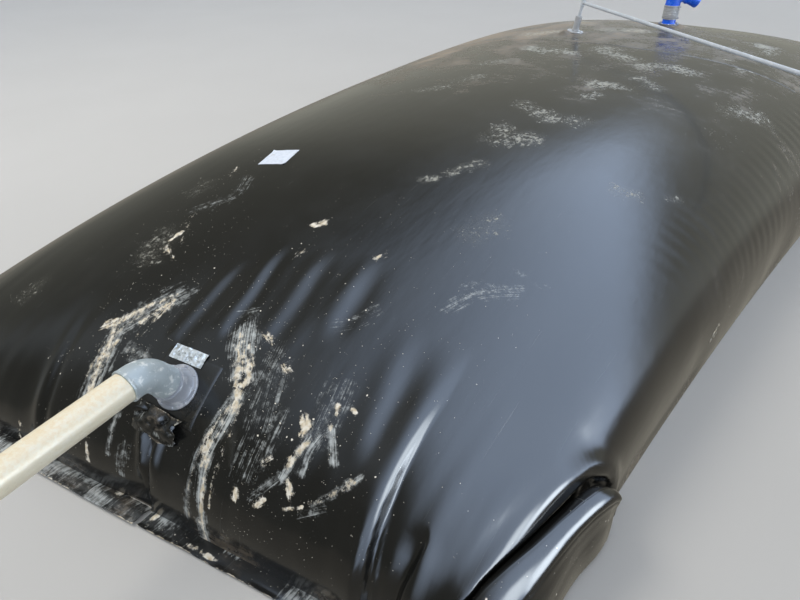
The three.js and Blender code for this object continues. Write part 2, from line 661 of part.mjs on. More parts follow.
for (const [name, { geometry, material }] of Object.entries(panels)) {
  addNode(name, geometry, material);
}
addNode('floor_sheet', floorGeometry(), finish.sheet);
addNode('near_hem_left', hemGeometry(PLEAT_Y + PLEAT_GAP, LEFT.nearHalfWidth, LEFT_HEM_WIDTH, -1), finish.hem);
addNode('near_hem_right', hemGeometry(HEM_START - RIGHT.nearHalfWidth, PLEAT_Y, HEM_WIDTH, -1), finish.hem);
addNode('far_hem', hemGeometry(-FAR_HALF_WIDTH, FAR_HALF_WIDTH, HEM_WIDTH, 1), finish.hem);
addNode('cross_seam', sheetGeometry(SEAM_LINES, MIDDLE_LINES, -GAP - SEAM_THICKNESS, -GAP), finish.farSheet);

const underBlock = new THREE.BoxGeometry(...UNDER_SIZE).translate(...UNDER_CENTRE);
addNode('corner_fold', cut(foldGeometry(), bagBlock(), underBlock), finish.sheet);

const shoulder = rigid(panelMesh('near_body_crown'));
const label = seatedPlate(LABEL_SIZE, skinPoint(...LABEL_SEAT, 0), skinNormal(...LABEL_SEAT), [shoulder]);
addNode('blank_label', label, finish.label);

export default digester;
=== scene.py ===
import math

import bpy
import numpy as np
from mathutils import Matrix, Vector


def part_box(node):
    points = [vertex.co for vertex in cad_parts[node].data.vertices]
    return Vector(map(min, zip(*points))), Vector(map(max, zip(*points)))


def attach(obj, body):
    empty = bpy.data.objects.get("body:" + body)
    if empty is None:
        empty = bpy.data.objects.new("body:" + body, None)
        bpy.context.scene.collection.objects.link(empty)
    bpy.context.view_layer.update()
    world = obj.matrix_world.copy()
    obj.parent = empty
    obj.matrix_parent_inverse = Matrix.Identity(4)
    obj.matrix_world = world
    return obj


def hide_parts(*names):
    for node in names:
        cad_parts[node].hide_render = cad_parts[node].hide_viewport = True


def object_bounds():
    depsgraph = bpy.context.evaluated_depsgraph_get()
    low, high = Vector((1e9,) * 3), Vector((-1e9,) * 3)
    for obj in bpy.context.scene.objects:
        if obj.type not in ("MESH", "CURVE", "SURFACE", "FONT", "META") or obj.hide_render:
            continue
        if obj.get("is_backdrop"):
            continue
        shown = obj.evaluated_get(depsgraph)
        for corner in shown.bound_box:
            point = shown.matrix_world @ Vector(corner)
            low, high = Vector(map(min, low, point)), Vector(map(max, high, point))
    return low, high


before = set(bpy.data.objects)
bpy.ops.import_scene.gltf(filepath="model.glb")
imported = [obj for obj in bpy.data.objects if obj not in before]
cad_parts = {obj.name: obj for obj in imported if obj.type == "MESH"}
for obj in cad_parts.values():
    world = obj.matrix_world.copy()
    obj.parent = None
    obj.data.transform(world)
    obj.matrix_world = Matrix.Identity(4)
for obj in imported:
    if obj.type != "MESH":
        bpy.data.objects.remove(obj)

CAD_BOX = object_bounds()

# The bag's form, as the CAD has it
BAG_LENGTH = 7.2
BAG_HEIGHT = 0.95
NEAR_END_POWER = 2.45
FAR_END_POWER = 2.75
FAR_HALF_WIDTH = 2.2
LEFT = {"near": 2.2, "mid": 2.31, "power": 2.23}
RIGHT = {"near": 1.19, "mid": 1.54, "power": 2.98}
HEM_SKEW = 0.142
GAP = 0.0004

# Panels of the bag: grid degrees where each starts and ends, and its rows or columns of cells
BANDS = {
    "near_end": (-90, -45, 132),
    "near_body": (-45, 6.6, 168),
    "far_body": (6.6, 45, 66),
    "far_end": (45, 90, 36),
}
STRIPS = {"right": (-90, -40, 98), "middle": (-40, 40, 244), "left": (40, 90, 78)}
STRIP_NAMES = {"end": ("right", "middle", "left"), "body": ("right_side", "crown", "left_side")}

# Thicknesses of the sheets as drawn
MEMBRANE = 0.0022
SEAM_STRIP = 0.0018
PATCH = 0.0016
THIN_FILM = 0.0008

# The inlet's seat, in grid degrees along and across the bag
INLET_SEAT = (-65.3, 5.5)


def signed_power(value, exponent):
    return np.sign(value) * np.abs(value) ** exponent


def side_form(left, t):
    """A side's power and its half width, at share t of the bag's half length."""
    side = {key: np.where(left, LEFT[key], RIGHT[key]) for key in LEFT}
    spread = (FAR_HALF_WIDTH - side["near"]) / 2
    bulge = (FAR_HALF_WIDTH + side["near"]) / 2 - side["mid"]
    return side["power"], side["mid"] + spread * t + bulge * t * t


def skin(along, across):
    """Points of the smooth bag for arrays of grid degrees."""
    phi, psi = np.radians(along), np.radians(across)
    near = phi < 0
    end_power = np.where(near, NEAR_END_POWER, FAR_END_POWER)
    t = signed_power(np.sin(phi), 2 / end_power)
    rise = np.abs(np.cos(phi)) ** (2 / end_power)
    side_power, half_width = side_form(psi > 0, t)
    y = half_width * signed_power(np.sin(psi), 2 / side_power)
    arch = np.abs(np.cos(psi)) ** (2 / side_power)
    x = BAG_LENGTH / 2 * t - np.where(near, HEM_SKEW * y * t * t, 0.0)
    return np.stack([x, y, BAG_HEIGHT * rise * arch], axis=-1)


def length(vectors):
    """Lengths of an array of vectors."""
    return np.linalg.norm(vectors, axis=-1)


def unit(vectors):
    return vectors / np.maximum(np.linalg.norm(vectors, axis=-1, keepdims=True), 1e-12)


def skin_normal(along, across):
    """Outward normals of the smooth bag. Close to its hem and feet they are taken a little inside."""
    limit, step = 89.2, 0.15
    a = np.clip(along, -limit, limit)
    b = np.clip(across, -limit, limit)
    da = skin(a + step, b) - skin(a - step, b)
    db = skin(a, b + step) - skin(a, b - step)
    return unit(np.cross(da, db))


def ease(low, high, value):
    """A smooth step from 0 to 1 as value goes from low to high."""
    t = np.clip((value - low) / (high - low), 0.0, 1.0)
    return t * t * (3 - 2 * t)


def wander(u, v, seed):
    """Smooth random heights from -1 to 1 over a plane, one lattice cell a unit."""
    size = 64
    table = np.random.default_rng(seed).uniform(-1, 1, (size, size))
    iu, iv = np.floor(u).astype(int), np.floor(v).astype(int)
    fu, fv = u - iu, v - iv
    fu, fv = fu * fu * (3 - 2 * fu), fv * fv * (3 - 2 * fv)
    at = lambda i, j: table[i % size, j % size]
    low = at(iu, iv) * (1 - fu) + at(iu + 1, iv) * fu
    high = at(iu, iv + 1) * (1 - fu) + at(iu + 1, iv + 1) * fu
    return low * (1 - fv) + high * fv


# Arc lengths from the middle of the bag, so that grid lines and noise are even on the sheet
FINE = np.linspace(-90, 90, 1801)


def arc_table(points):
    arc = np.concatenate([[0.0], np.cumsum(length(np.diff(points, axis=0)))])
    return arc - np.interp(0.0, FINE, arc)


ALONG_ARC = arc_table(skin(FINE, np.zeros_like(FINE)))
ACROSS_ARC = arc_table(skin(np.zeros_like(FINE), FINE))


def sheet_place(along, across):
    """Metres along and across the sheet from its middle."""
    return np.interp(along, FINE, ALONG_ARC), np.interp(across, FINE, ACROSS_ARC)


def sheet_vectors(along, across):
    """The same as vectors, which materials read."""
    return np.stack([*sheet_place(along, across), np.zeros_like(along)], axis=-1)


def even_lines(start, end, cells, arc):
    lengths = np.linspace(np.interp(start, FINE, arc), np.interp(end, FINE, arc), cells + 1)
    lines = np.interp(lengths, arc, FINE)
    lines[0], lines[-1] = start, end
    return lines


def grid_place(x, y):
    """Grid degrees of a place on the bag, seen from above."""
    x, y = np.asarray(x, float), np.asarray(y, float)
    skew = np.where((x < 0) & (np.abs(y) > 1e-6), HEM_SKEW * y, 1e-9)
    half = BAG_LENGTH / 2
    t = np.clip((half - np.sqrt(np.maximum(half ** 2 - 4 * skew * x, 0))) / (2 * skew), -1, 1)
    side_power, half_width = side_form(y > 0, t)
    v = np.clip(y / half_width, -1, 1)
    end_power = np.where(x < 0, NEAR_END_POWER, FAR_END_POWER)
    return (np.degrees(np.arcsin(signed_power(t, end_power / 2))),
            np.degrees(np.arcsin(signed_power(v, side_power / 2))))


def on_skin(places):
    places = np.asarray(places, float)
    return skin(*grid_place(places[:, 0], places[:, 1]))


# Folds, pleats and dents of the sheet: kind, width, height, the shares of its length over which it
# fades in and out, and its path as places in metres seen from above. Left is +Y. A flank is a
# crest to the left of its path with a hollow to the right. A crease is a hump to the left that
# ends in a sharp valley on its path, and a pleat is a crest with a hollow to its right. A step
# starts sharply at its path and fades out to the left. A tuck lets in all of the sheet on its
# right.
FOLDS = [
    # the long ridge that runs down to the near hem, with a weaker one on either side
    ("crease", 0.1, 0.028, 0.32, 0.02, [(-2.7, -0.675), (-2.86, -0.685), (-2.99, -0.685), (-3.1, -0.68),
     (-3.19, -0.68), (-3.26, -0.685), (-3.33, -0.69), (-3.4, -0.7), (-3.46, -0.712), (-3.52, -0.725)]),
    ("crease", 0.03, 0.007, 0.3, 0.1, [(-3.24, -0.7), (-3.31, -0.712), (-3.38, -0.728), (-3.46, -0.745),
     (-3.52, -0.76)]),
    ("crease", 0.022, 0.005, 0.4, 0.05, [(-3.28, -0.655), (-3.36, -0.662), (-3.43, -0.675), (-3.51, -0.69)]),
    ("flank", 0.06, 0.006, 0.5, 0.3, [(-2.7, -0.48), (-2.87, -0.49), (-3.01, -0.51), (-3.14, -0.53),
     (-3.3, -0.57)]),
    # the short sharp pleat beside them: the sheet on its right stands over a hollow
    ("step", 0.05, -0.03, 0.3, 0.0, [(-3.265, -0.835), (-3.3, -0.846), (-3.345, -0.846), (-3.39, -0.84),
     (-3.445, -0.83), (-3.51, -0.83)]),
    ("ridge", 0.034, 0.008, 0.3, 0.0, [(-3.26, -0.86), (-3.31, -0.87), (-3.38, -0.865), (-3.5, -0.86)]),
    # soft ridges that run from the inlet up the near end
    ("flank", 0.038, 0.0045, 0.4, 0.1, [(-2.76, 0.45), (-2.88, 0.44), (-3.06, 0.43), (-3.16, 0.43),
     (-3.26, 0.43)]),
    ("flank", 0.04, 0.005, 0.4, 0.15, [(-2.6, 0.33), (-2.76, 0.31), (-2.94, 0.27), (-3.06, 0.26),
     (-3.18, 0.24)]),
    ("flank", 0.05, 0.0045, 0.4, 0.2, [(-2.56, 0.1), (-2.7, 0.1), (-2.88, 0.07), (-3.0, 0.06),
     (-3.12, 0.06)]),
    ("flank", 0.06, 0.006, 0.5, 0.3, [(-2.5, -0.1), (-2.66, -0.12), (-2.82, -0.14), (-3.0, -0.16)]),
    # two pleats under the inlet, and the deep one that parts the hem
    ("ridge", 0.02, 0.021, 0.3, 0.4, [(-3.49, 0.335), (-3.55, 0.315), (-3.6, 0.3), (-3.63, 0.3)]),
    ("ridge", 0.022, 0.021, 0.3, 0.5, [(-3.47, 0.225), (-3.53, 0.225), (-3.58, 0.22), (-3.61, 0.215)]),
    ("ridge", 0.01, -0.04, 0.3, 0.0, [(-3.49, 0.275), (-3.54, 0.268), (-3.59, 0.258), (-3.636, 0.256)]),
    ("step", 0.17, -0.026, 0.5, 0.0, [(-3.48, 0.285), (-3.54, 0.275), (-3.6, 0.265), (-3.636, 0.262)]),
    # the folded corner at the near right: a full roll, then the sheet tucks in under the fold
    ("ridge", 0.075, 0.016, 0.6, 0.3, [(-3.34, -0.93), (-3.2, -0.985), (-3.07, -1.025), (-2.94, -1.06),
     (-2.82, -1.1), (-2.7, -1.145)]),
    ("ridge", 0.042, 0.018, 0.14, 0.02, [(-3.44, -0.976), (-3.3, -1.034), (-3.2, -1.059), (-3.07, -1.081),
     (-2.94, -1.108), (-2.82, -1.142), (-2.74, -1.165), (-2.66, -1.205), (-2.6, -1.236), (-2.565, -1.262)]),
    ("tuck", 0.014, -0.07, 0.12, 0.0, [(-3.47, -0.968), (-3.345, -1.042), (-3.285, -1.06),
     (-3.215, -1.083), (-3.1, -1.12), (-2.95, -1.156), (-2.86, -1.172), (-2.775, -1.19), (-2.7, -1.214),
     (-2.645, -1.236), (-2.612, -1.262)]),
    # pleats where the other corners gather
    ("pleat", 0.04, 0.022, 0.5, 0.02, [(2.8, -1.45), (3.15, -1.42), (3.4, -1.38), (3.6, -1.35)]),
    ("pleat", 0.045, 0.022, 0.5, 0.02, [(2.75, 1.2), (3.1, 1.15), (3.4, 1.12), (3.6, 1.1)]),
    ("pleat", 0.034, 0.008, 0.5, 0.02, [(-3.25, 1.02), (-3.43, 0.95), (-3.6, 0.9), (-3.72, 0.88)]),
]


def rounded_path(path, steps=4):
    """Catmull-Rom points through a path's places."""
    p = np.array(path, float)
    p = np.vstack([2 * p[0] - p[1], p, 2 * p[-1] - p[-2]])
    t = (np.arange(steps) / steps)[:, None]
    out = []
    for a, b, c, d in zip(p, p[1:], p[2:], p[3:]):
        out.append(0.5 * (2 * b + (c - a) * t + (2 * a - 5 * b + 4 * c - d) * t ** 2
                          + (3 * b - a - 3 * c + d) * t ** 3))
    return np.vstack(out + [p[-2]])


def path_reach(points, places):
    """For points on the sheet: distance to a path of places, share of its length, side, and the
    metres along and beside it, straight on past its ends. The side is 1 towards +Y of the path
    and -1 towards -Y."""
    plan = rounded_path(places)
    path = on_skin(plan)
    lengths = length(np.diff(path, axis=0))
    starts = np.concatenate([[0.0], np.cumsum(lengths)])
    best = np.full(points.shape[:-1], np.inf)
    share, run, beside = (np.zeros_like(best) for _ in range(3))
    side = np.ones_like(best)
    for k, (a, b) in enumerate(zip(path[:-1], path[1:])):
        edge = b - a
        free = ((points - a) @ edge) / (edge @ edge)
        t = np.clip(free, 0, 1)
        line = np.clip(free, 0 if k else -np.inf, 1 if k < len(lengths) - 1 else np.inf)
        d = length(points - (a + t[..., None] * edge))
        cross = edge[0] * (points[..., 1] - a[1]) - edge[1] * (points[..., 0] - a[0])
        near = d < best
        best = np.where(near, d, best)
        share = np.where(near, (starts[k] + t * lengths[k]) / starts[-1], share)
        side = np.where(near, np.sign(cross * (plan[-1, 0] - plan[0, 0])), side)
        run = np.where(near, starts[k] + line * lengths[k], run)
        beside = np.where(near, length(points - (a + line[..., None] * edge)), beside)
    return best, share, side, run, beside * side


def close_to(points, places, reach):
    """Which points lie in the box round a path, or within reach of that box."""
    path = on_skin(places)
    return np.all((points > path.min(axis=0) - reach) & (points < path.max(axis=0) + reach), axis=-1)


TUCK_REACH = 0.45


def fold_height(kind, w, depth, fade_in, fade_out, places, points):
    """A fold's height over an array of points, worked out only close to its path."""
    close = close_to(points, places, TUCK_REACH if kind == "tuck" else 3.5 * w + 0.03)
    distance, share, side = path_reach(points[close], places)[:3]
    window = ease(0, fade_in, share)
    if fade_out:
        window = window * ease(0, fade_out, 1 - share)
    signed = distance * side
    one_sided = np.exp(-(np.maximum(signed, 0) / w) ** 2)
    if kind == "ridge":
        shape = np.exp(-(distance / w) ** 2)
    elif kind == "flank":
        shape = 2.33 * signed / w * np.exp(-(signed / w) ** 2)
    elif kind == "crease":
        hump = (1 - np.exp(-np.maximum(signed, 0) / (0.32 * w))) * np.exp(-(signed / w) ** 2)
        trench = ease(0.008, -0.01, signed) * np.clip(1 + signed / (1.6 * w), 0, 1) ** 1.3
        shape = hump - 0.95 * trench * ease(0.28, 0.62, share)
    elif kind == "tuck":
        shape = one_sided * np.where(share < 1, 1, ease(0.12, 0.02, distance))
    elif kind == "pleat":
        hollow_side = np.exp(-((signed + 0.9 * w) / (0.7 * w)) ** 2)
        shape = np.exp(-((signed - 0.4 * w) / w) ** 2) - 0.85 * hollow_side
    else:
        shape = ease(-0.006, 0.006, signed) * one_sided
    height = np.zeros(points.shape[:-1])
    height[close] = depth * window * shape
    return height


# Heights of the sheet's slack
GATHER_RISE = 0.0032
SOFT_RISE = 0.003
RIPPLE_RISE = 0.0013
RIPPLE_LENGTH = 0.098
LOW_SLACK = 0.01


def relief(along, across, points):
    """How far the sheet stands out from the smooth bag."""
    s, u = sheet_place(along, across)
    foot = ease(0.0, 0.18, points[..., 2])
    height = np.zeros(points.shape[:-1])
    for fold in FOLDS:
        height += fold_height(*fold, points)
    # long soft gathers that run up from both hems
    near_gather = ease(-42, -66, along) * ease(-90, -80, along)
    far_gather = ease(46, 70, along) * ease(90, 80, along)
    gathers = wander(u / 0.13, s / 0.9, 11) + 0.5 * wander(u / 0.065 + 9, s / 0.6, 12)
    height += GATHER_RISE * gathers * (near_gather + 1.6 * far_gather)
    soft = wander(u / 0.34, s / 1.3, 21) * ease(-20, -50, along)
    height += SOFT_RISE * soft * foot
    # slack ripples over the shoulders, a little aslant
    slant = (s + 0.3 * u) / RIPPLE_LENGTH
    wave = np.sin(2 * math.pi * (slant + 0.8 * wander(u / 0.5, s / 0.9, 31)))
    shoulder = ease(38, 52, np.abs(across)) * ease(84, 68, np.abs(across))
    stretch = ease(-30, -14, along) * ease(30, 8, along)
    patchy = 0.4 + 0.6 * ease(-0.3, 0.6, wander(u / 0.6 + 5, s / 0.8, 32))
    height += RIPPLE_RISE * wave * shoulder * stretch * patchy
    # slack sheet low on the long sides
    low = ease(0.55, 0.12, points[..., 2]) * ease(0.0, 0.08, points[..., 2])
    height += LOW_SLACK * low * wander(s / 0.35, u / 0.5, 41) * ease(60, 75, np.abs(across))
    return height


def box_centre(node):
    low, high = (np.array(corner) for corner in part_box(node))
    return (low + high) / 2


def seat_frame(name, normal, thickness, radius, clearance, bore):
    """A flange's underside, with the sheet's clearance under it and the bore through the sheet."""
    normal = unit(np.array(normal, float))
    return {"base": box_centre(name) - normal * thickness / 2, "normal": normal,
            "radius": radius, "clearance": clearance, "bore": bore}


INLET_NORMAL = skin_normal(*map(np.array, INLET_SEAT))
SEATS = {
    "inlet": seat_frame("inlet_flange", INLET_NORMAL, 0.012, 0.092, 0.004, 0.045),
    "gas": seat_frame("gas_flange", (0.06, -0.12, 1), 0.008, 0.07, 0.0006, 0.012),
    "outlet": seat_frame("outlet_flange", (0, 0, 1), 0.012, 0.088, 0.004, 0.045),
}


def pressed(points, lift):
    """The sheet lies flat under each flange."""
    for seat in SEATS.values():
        offset = points - seat["base"]
        height = offset @ seat["normal"]
        radial = length(offset - height[..., None] * seat["normal"])
        share = ease(2.1, 1.05, radial / seat["radius"]) * (np.abs(height) < 0.2)
        points = points - ((height + seat["clearance"] - lift) * share)[..., None] * seat["normal"]
    return points


def draped(along, across, lift=0.0):
    """Points on the folded sheet."""
    along, across = np.broadcast_arrays(np.asarray(along, float), np.asarray(across, float))
    points = skin(along, across)
    rise = relief(along, across, points) + lift
    return pressed(points + skin_normal(along, across) * rise[..., None], lift)


# Meshes

def linked(name, data):
    """A new object in the scene."""
    item = bpy.data.objects.new(name, data)
    bpy.context.scene.collection.objects.link(item)
    return item


def make_object(name, vertices, faces, material, normals=None, sharp=None):
    mesh = bpy.data.meshes.new(name)
    mesh.from_pydata(np.asarray(vertices).tolist(), [], [list(map(int, f)) for f in faces])
    mesh.validate()
    mesh.shade_smooth()
    if normals is not None:
        mesh.normals_split_custom_set_from_vertices(np.asarray(normals).tolist())
    if sharp is not None:
        mesh.set_sharp_from_angle(angle=math.radians(sharp))
    mesh.materials.append(material)
    piece = linked(name, mesh)
    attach(piece, "root")
    return piece


def dress(piece, slot, *nodes):
    """Hides the CAD nodes that a piece replaces. The piece and its material slot are not used."""
    if nodes:
        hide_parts(*nodes)


def set_doubled(piece, name, field, used):
    """An attribute for a shell: the same grid of values for its outer and its inner points."""
    vector = field.ndim == 3
    values = field.reshape(-1, 3) if vector else field.reshape(-1)
    values = np.asarray(np.concatenate([values, values])[used], np.float32)
    attribute = piece.data.attributes.new(name, "FLOAT_VECTOR" if vector else "FLOAT", "POINT")
    attribute.data.foreach_set("vector" if vector else "value", values.ravel())


def grid_normals(points):
    da = np.gradient(points, axis=0)
    db = np.gradient(points, axis=1)
    return unit(np.cross(da, db))


def shell_mesh(points, normals, thickness, keep=None):
    """A closed thin sheet over a grid of points, with a rim along every free edge."""
    rows, columns = points.shape[:2]
    inner = points - normals * thickness
    inner[..., 2] = np.maximum(inner[..., 2], 0.0)
    vertices = np.concatenate([points.reshape(-1, 3), inner.reshape(-1, 3)])
    vertex_normals = np.concatenate([normals.reshape(-1, 3), -normals.reshape(-1, 3)])
    at = np.arange(rows * columns).reshape(rows, columns)
    quads = np.stack([at[:-1, :-1], at[1:, :-1], at[1:, 1:], at[:-1, 1:]], axis=-1).reshape(-1, 4)
    if keep is not None:
        quads = quads[keep.reshape(-1)]
    edges = np.concatenate([quads[:, [k, (k + 1) % 4]] for k in range(4)])
    low, high = edges.min(axis=1), edges.max(axis=1)
    _, first, counts = np.unique(low * (rows * columns) + high, return_index=True, return_counts=True)
    rim = edges[first[counts == 1]]
    offset = rows * columns
    rims = np.stack([rim[:, 1], rim[:, 0], rim[:, 0] + offset, rim[:, 1] + offset], axis=-1)
    faces = np.concatenate([quads, quads[:, ::-1] + offset, rims])
    if keep is not None:
        used, faces = np.unique(faces, return_inverse=True)
        return vertices[used], faces.reshape(-1, 4), vertex_normals[used], used
    return vertices, faces, vertex_normals, np.arange(len(vertices))


def frame_axes(direction):
    """Two unit vectors square to a direction and to each other."""
    direction = unit(np.asarray(direction, float))
    upright = abs(direction[2]) > 0.95
    u = unit(np.cross((1.0, 0.0, 0.0) if upright else (0.0, 0.0, 1.0), direction))
    return u, np.cross(direction, u)


def ring_mesh(rings, closed):
    """Vertices and faces of a round form from its rings; closed joins the last ring to the first."""
    count, sides = len(rings), len(rings[0])
    faces = []
    for k in range(count if closed else count - 1):
        low, high = k * sides, ((k + 1) % count) * sides
        for s in range(sides):
            t = (s + 1) % sides
            faces.append((low + s, low + t, high + t, high + s))
    if not closed:
        faces.append(tuple(range(sides))[::-1])
        faces.append(tuple(range((count - 1) * sides, count * sides)))
    return np.concatenate(rings), faces


def circle(centre, u, v, radius, sides):
    angle = 2 * math.pi * np.arange(sides)[:, None] / sides
    return centre + radius * (np.cos(angle) * u + np.sin(angle) * v)


# Sides of a round piece, and the degrees from which an edge is drawn sharp
ROUND_SIDES = 64
SHARP_EDGE = 32
SHARP_BEND = 38


def turned(name, profile, origin, direction, material, sides, closed=True):
    """A profile of (radius, height) pairs turned about a line that starts at origin."""
    direction = unit(np.asarray(direction, float))
    u, v = frame_axes(direction)
    rings = [circle(origin + direction * h, u, v, max(r, 1e-5), sides) for r, h in profile]
    return make_object(name, *ring_mesh(rings, closed), material, sharp=SHARP_EDGE)


def hollow(outer, bore):
    """A closed section: the outer pairs from bottom to top, then back down the bore."""
    return list(outer) + [(bore, outer[-1][1]), (bore, outer[0][1])]


def hollow_part(outer, bore, origin, direction, sides):
    """Vertices and faces of a hollow turned form, to be joined with others."""
    u, v = frame_axes(direction)
    return ring_mesh([circle(origin + direction * h, u, v, r, sides) for r, h in hollow(outer, bore)], True)


def bend_path(corner, inward, outward, radius, lead_in, lead_out, steps):
    """An elbow round a corner: its stations, each a centre and a tangent, and its axis."""
    angle = math.acos(float(inward @ outward))
    reach = radius * math.tan(angle / 2)
    side = unit(outward - inward * (inward @ outward))
    start = corner - inward * reach
    out = []
    for run in np.linspace(-lead_in, 0, 9)[:-1]:
        out.append((start + inward * run, inward))
    for turn in np.linspace(0, angle, steps):
        centre = start + inward * radius * math.sin(turn) + side * radius * (1 - math.cos(turn))
        out.append((centre, inward * math.cos(turn) + side * math.sin(turn)))
    end = out[-1][0]
    for run in np.linspace(0, lead_out, 9)[1:]:
        out.append((end + outward * run, outward))
    return out, unit(np.cross(inward, outward))


def elbow(name, stations, axis, body, near, far, material):
    """A hollow elbow: its body's outer radius, with those of the sockets' lips at its two ends."""
    radii = np.full(len(stations), body)
    radii[:len(near)] = near
    radii[-len(far):] = far
    radii = [*radii, *[DRAIN_BORE] * len(stations)]
    rings = [circle(centre, axis, np.cross(tangent, axis), radius, ROUND_SIDES)
             for (centre, tangent), radius in zip(stations + stations[::-1], radii)]
    return make_object(name, *ring_mesh(rings, True), material, sharp=SHARP_BEND)


def joined(name, parts, material):
    """One object from several (vertices, faces) parts."""
    vertices, faces, offset = [], [], 0
    for points, polygons in parts:
        vertices.append(np.asarray(points))
        faces += [tuple(int(k) + offset for k in polygon) for polygon in polygons]
        offset += len(points)
    return make_object(name, np.concatenate(vertices), faces, material, sharp=SHARP_EDGE)


# Dried mud on the sheet. A stroke has its width, its strength and a path of places in metres,
# seen from above. Thick mud is opaque and cream, and a film is thin, pale and brushed.
MUD = [
    # the smear over the inlet, in strands
    (0.014, 0.74, [(-3.072, 0.6), (-3.113, 0.635), (-3.159, 0.67), (-3.205, 0.706), (-3.254, 0.739)]),
    (0.018, 0.8, [(-3.15, 0.672), (-3.205, 0.712), (-3.254, 0.745), (-3.295, 0.772)]),
    (0.022, 0.86, [(-3.28, 0.775), (-3.31, 0.8), (-3.33, 0.82)]),
    (0.015, 0.78, [(-3.1, 0.592), (-3.14, 0.61), (-3.19, 0.635), (-3.235, 0.648)]),
    (0.011, 0.72, [(-3.114, 0.584), (-3.177, 0.593), (-3.243, 0.596), (-3.285, 0.61)]),
    (0.01, 0.62, [(-3.2, 0.675), (-3.26, 0.7), (-3.31, 0.722)]),
    (0.022, 0.74, [(-3.31, 0.735), (-3.364, 0.716), (-3.408, 0.705), (-3.46, 0.697)]),
    (0.016, 0.8, [(-3.4, 0.7), (-3.45, 0.69), (-3.5, 0.672), (-3.545, 0.65)]),
    (0.01, 0.66, [(-3.34, 0.69), (-3.42, 0.67), (-3.48, 0.65)]),
    (0.01, 0.6, [(-3.37, 0.748), (-3.43, 0.735), (-3.5, 0.715)]),
    (0.026, 0.52, [(-3.34, 0.6), (-3.35, 0.56), (-3.345, 0.52)]),
    # the patch beside the elbow, its streaks and its drips
    (0.022, 0.66, [(-3.1, 0.165), (-3.125, 0.15), (-3.15, 0.125)]),
    (0.016, 0.6, [(-3.11, 0.11), (-3.14, 0.075), (-3.165, 0.04)]),
    (0.036, 0.86, [(-3.175, 0.085), (-3.205, 0.055), (-3.235, 0.035)]),
    (0.018, 0.84, [(-3.235, 0.035), (-3.275, 0.015), (-3.315, 0.004)]),
    (0.012, 0.7, [(-3.3, 0.01), (-3.36, 0.002), (-3.42, 0.012), (-3.47, 0.009), (-3.512, -0.013),
     (-3.59, -0.025)]),
    (0.008, 0.64, [(-3.31, 0.02), (-3.38, 0.032), (-3.45, 0.044), (-3.52, 0.046), (-3.6, 0.036)]),
    (0.008, 0.56, [(-3.3, -0.015), (-3.36, -0.036), (-3.42, -0.046), (-3.49, -0.052), (-3.56, -0.064)]),
    (0.022, 0.84, [(-3.44, 0.036), (-3.47, 0.02), (-3.495, 0.004)]),
    (0.012, 0.74, [(-3.4, 0.038), (-3.43, 0.044)]),
    (0.012, 0.8, [(-3.54, -0.024), (-3.58, -0.028), (-3.61, -0.03)]),
    # splats on the near end
    (0.02, 0.9, [(-3.225, -0.28), (-3.245, -0.3)]), (0.012, 0.8, [(-3.25, -0.3), (-3.275, -0.3)]),
    (0.012, 0.8, [(-3.28, -0.33), (-3.33, -0.32), (-3.37, -0.31)]),
    (0.017, 0.86, [(-3.4, -0.345), (-3.42, -0.365)]), (0.015, 0.86, [(-3.375, -0.24), (-3.395, -0.225)]),
    (0.014, 0.9, [(-3.47, -0.27), (-3.49, -0.245)]), (0.015, 0.9, [(-3.495, -0.16), (-3.51, -0.165)]),
    (0.013, 0.84, [(-3.135, -0.365), (-3.165, -0.375)]), (0.009, 0.8, [(-3.2, -0.375), (-3.215, -0.385)]),
    (0.009, 0.9, [(-3.125, -0.42), (-3.13, -0.44)]),
    (0.01, 0.66, [(-3.3, -0.55), (-3.34, -0.52), (-3.38, -0.48), (-3.41, -0.44)]),
    (0.009, 0.6, [(-3.43, -0.42), (-3.46, -0.36)]), (0.022, 0.64, [(-3.05, 0.07), (-3.06, 0.03)]),
    (0.018, 0.62, [(-3.12, -0.08), (-3.13, -0.11)]),
    # dried puddles on the crown
    (0.02, 0.78, [(-2.49, 0.3), (-2.44, 0.28)]), (0.022, 0.58, [(-2.7, 0.24), (-2.64, 0.24)]),
    (0.02, 0.74, [(-2.54, -0.09), (-2.5, -0.11)]), (0.03, 0.62, [(-1.45, -1.35), (-1.5, -1.35)]),
    # the left side
    (0.022, 0.6, [(-2.93, 0.8), (-2.9, 0.86), (-2.86, 0.92), (-2.78, 0.93)]),
    (0.012, 0.56, [(-2.84, 0.85), (-2.76, 0.9), (-2.68, 0.98), (-2.62, 1.0)]),
    (0.02, 0.55, [(-2.28, 1.1), (-2.2, 1.16)]), (0.018, 0.52, [(-3.72, 1.0), (-3.75, 1.04)]),
    (0.014, 0.7, [(-3.62, 0.6), (-3.67, 0.58)]),
]
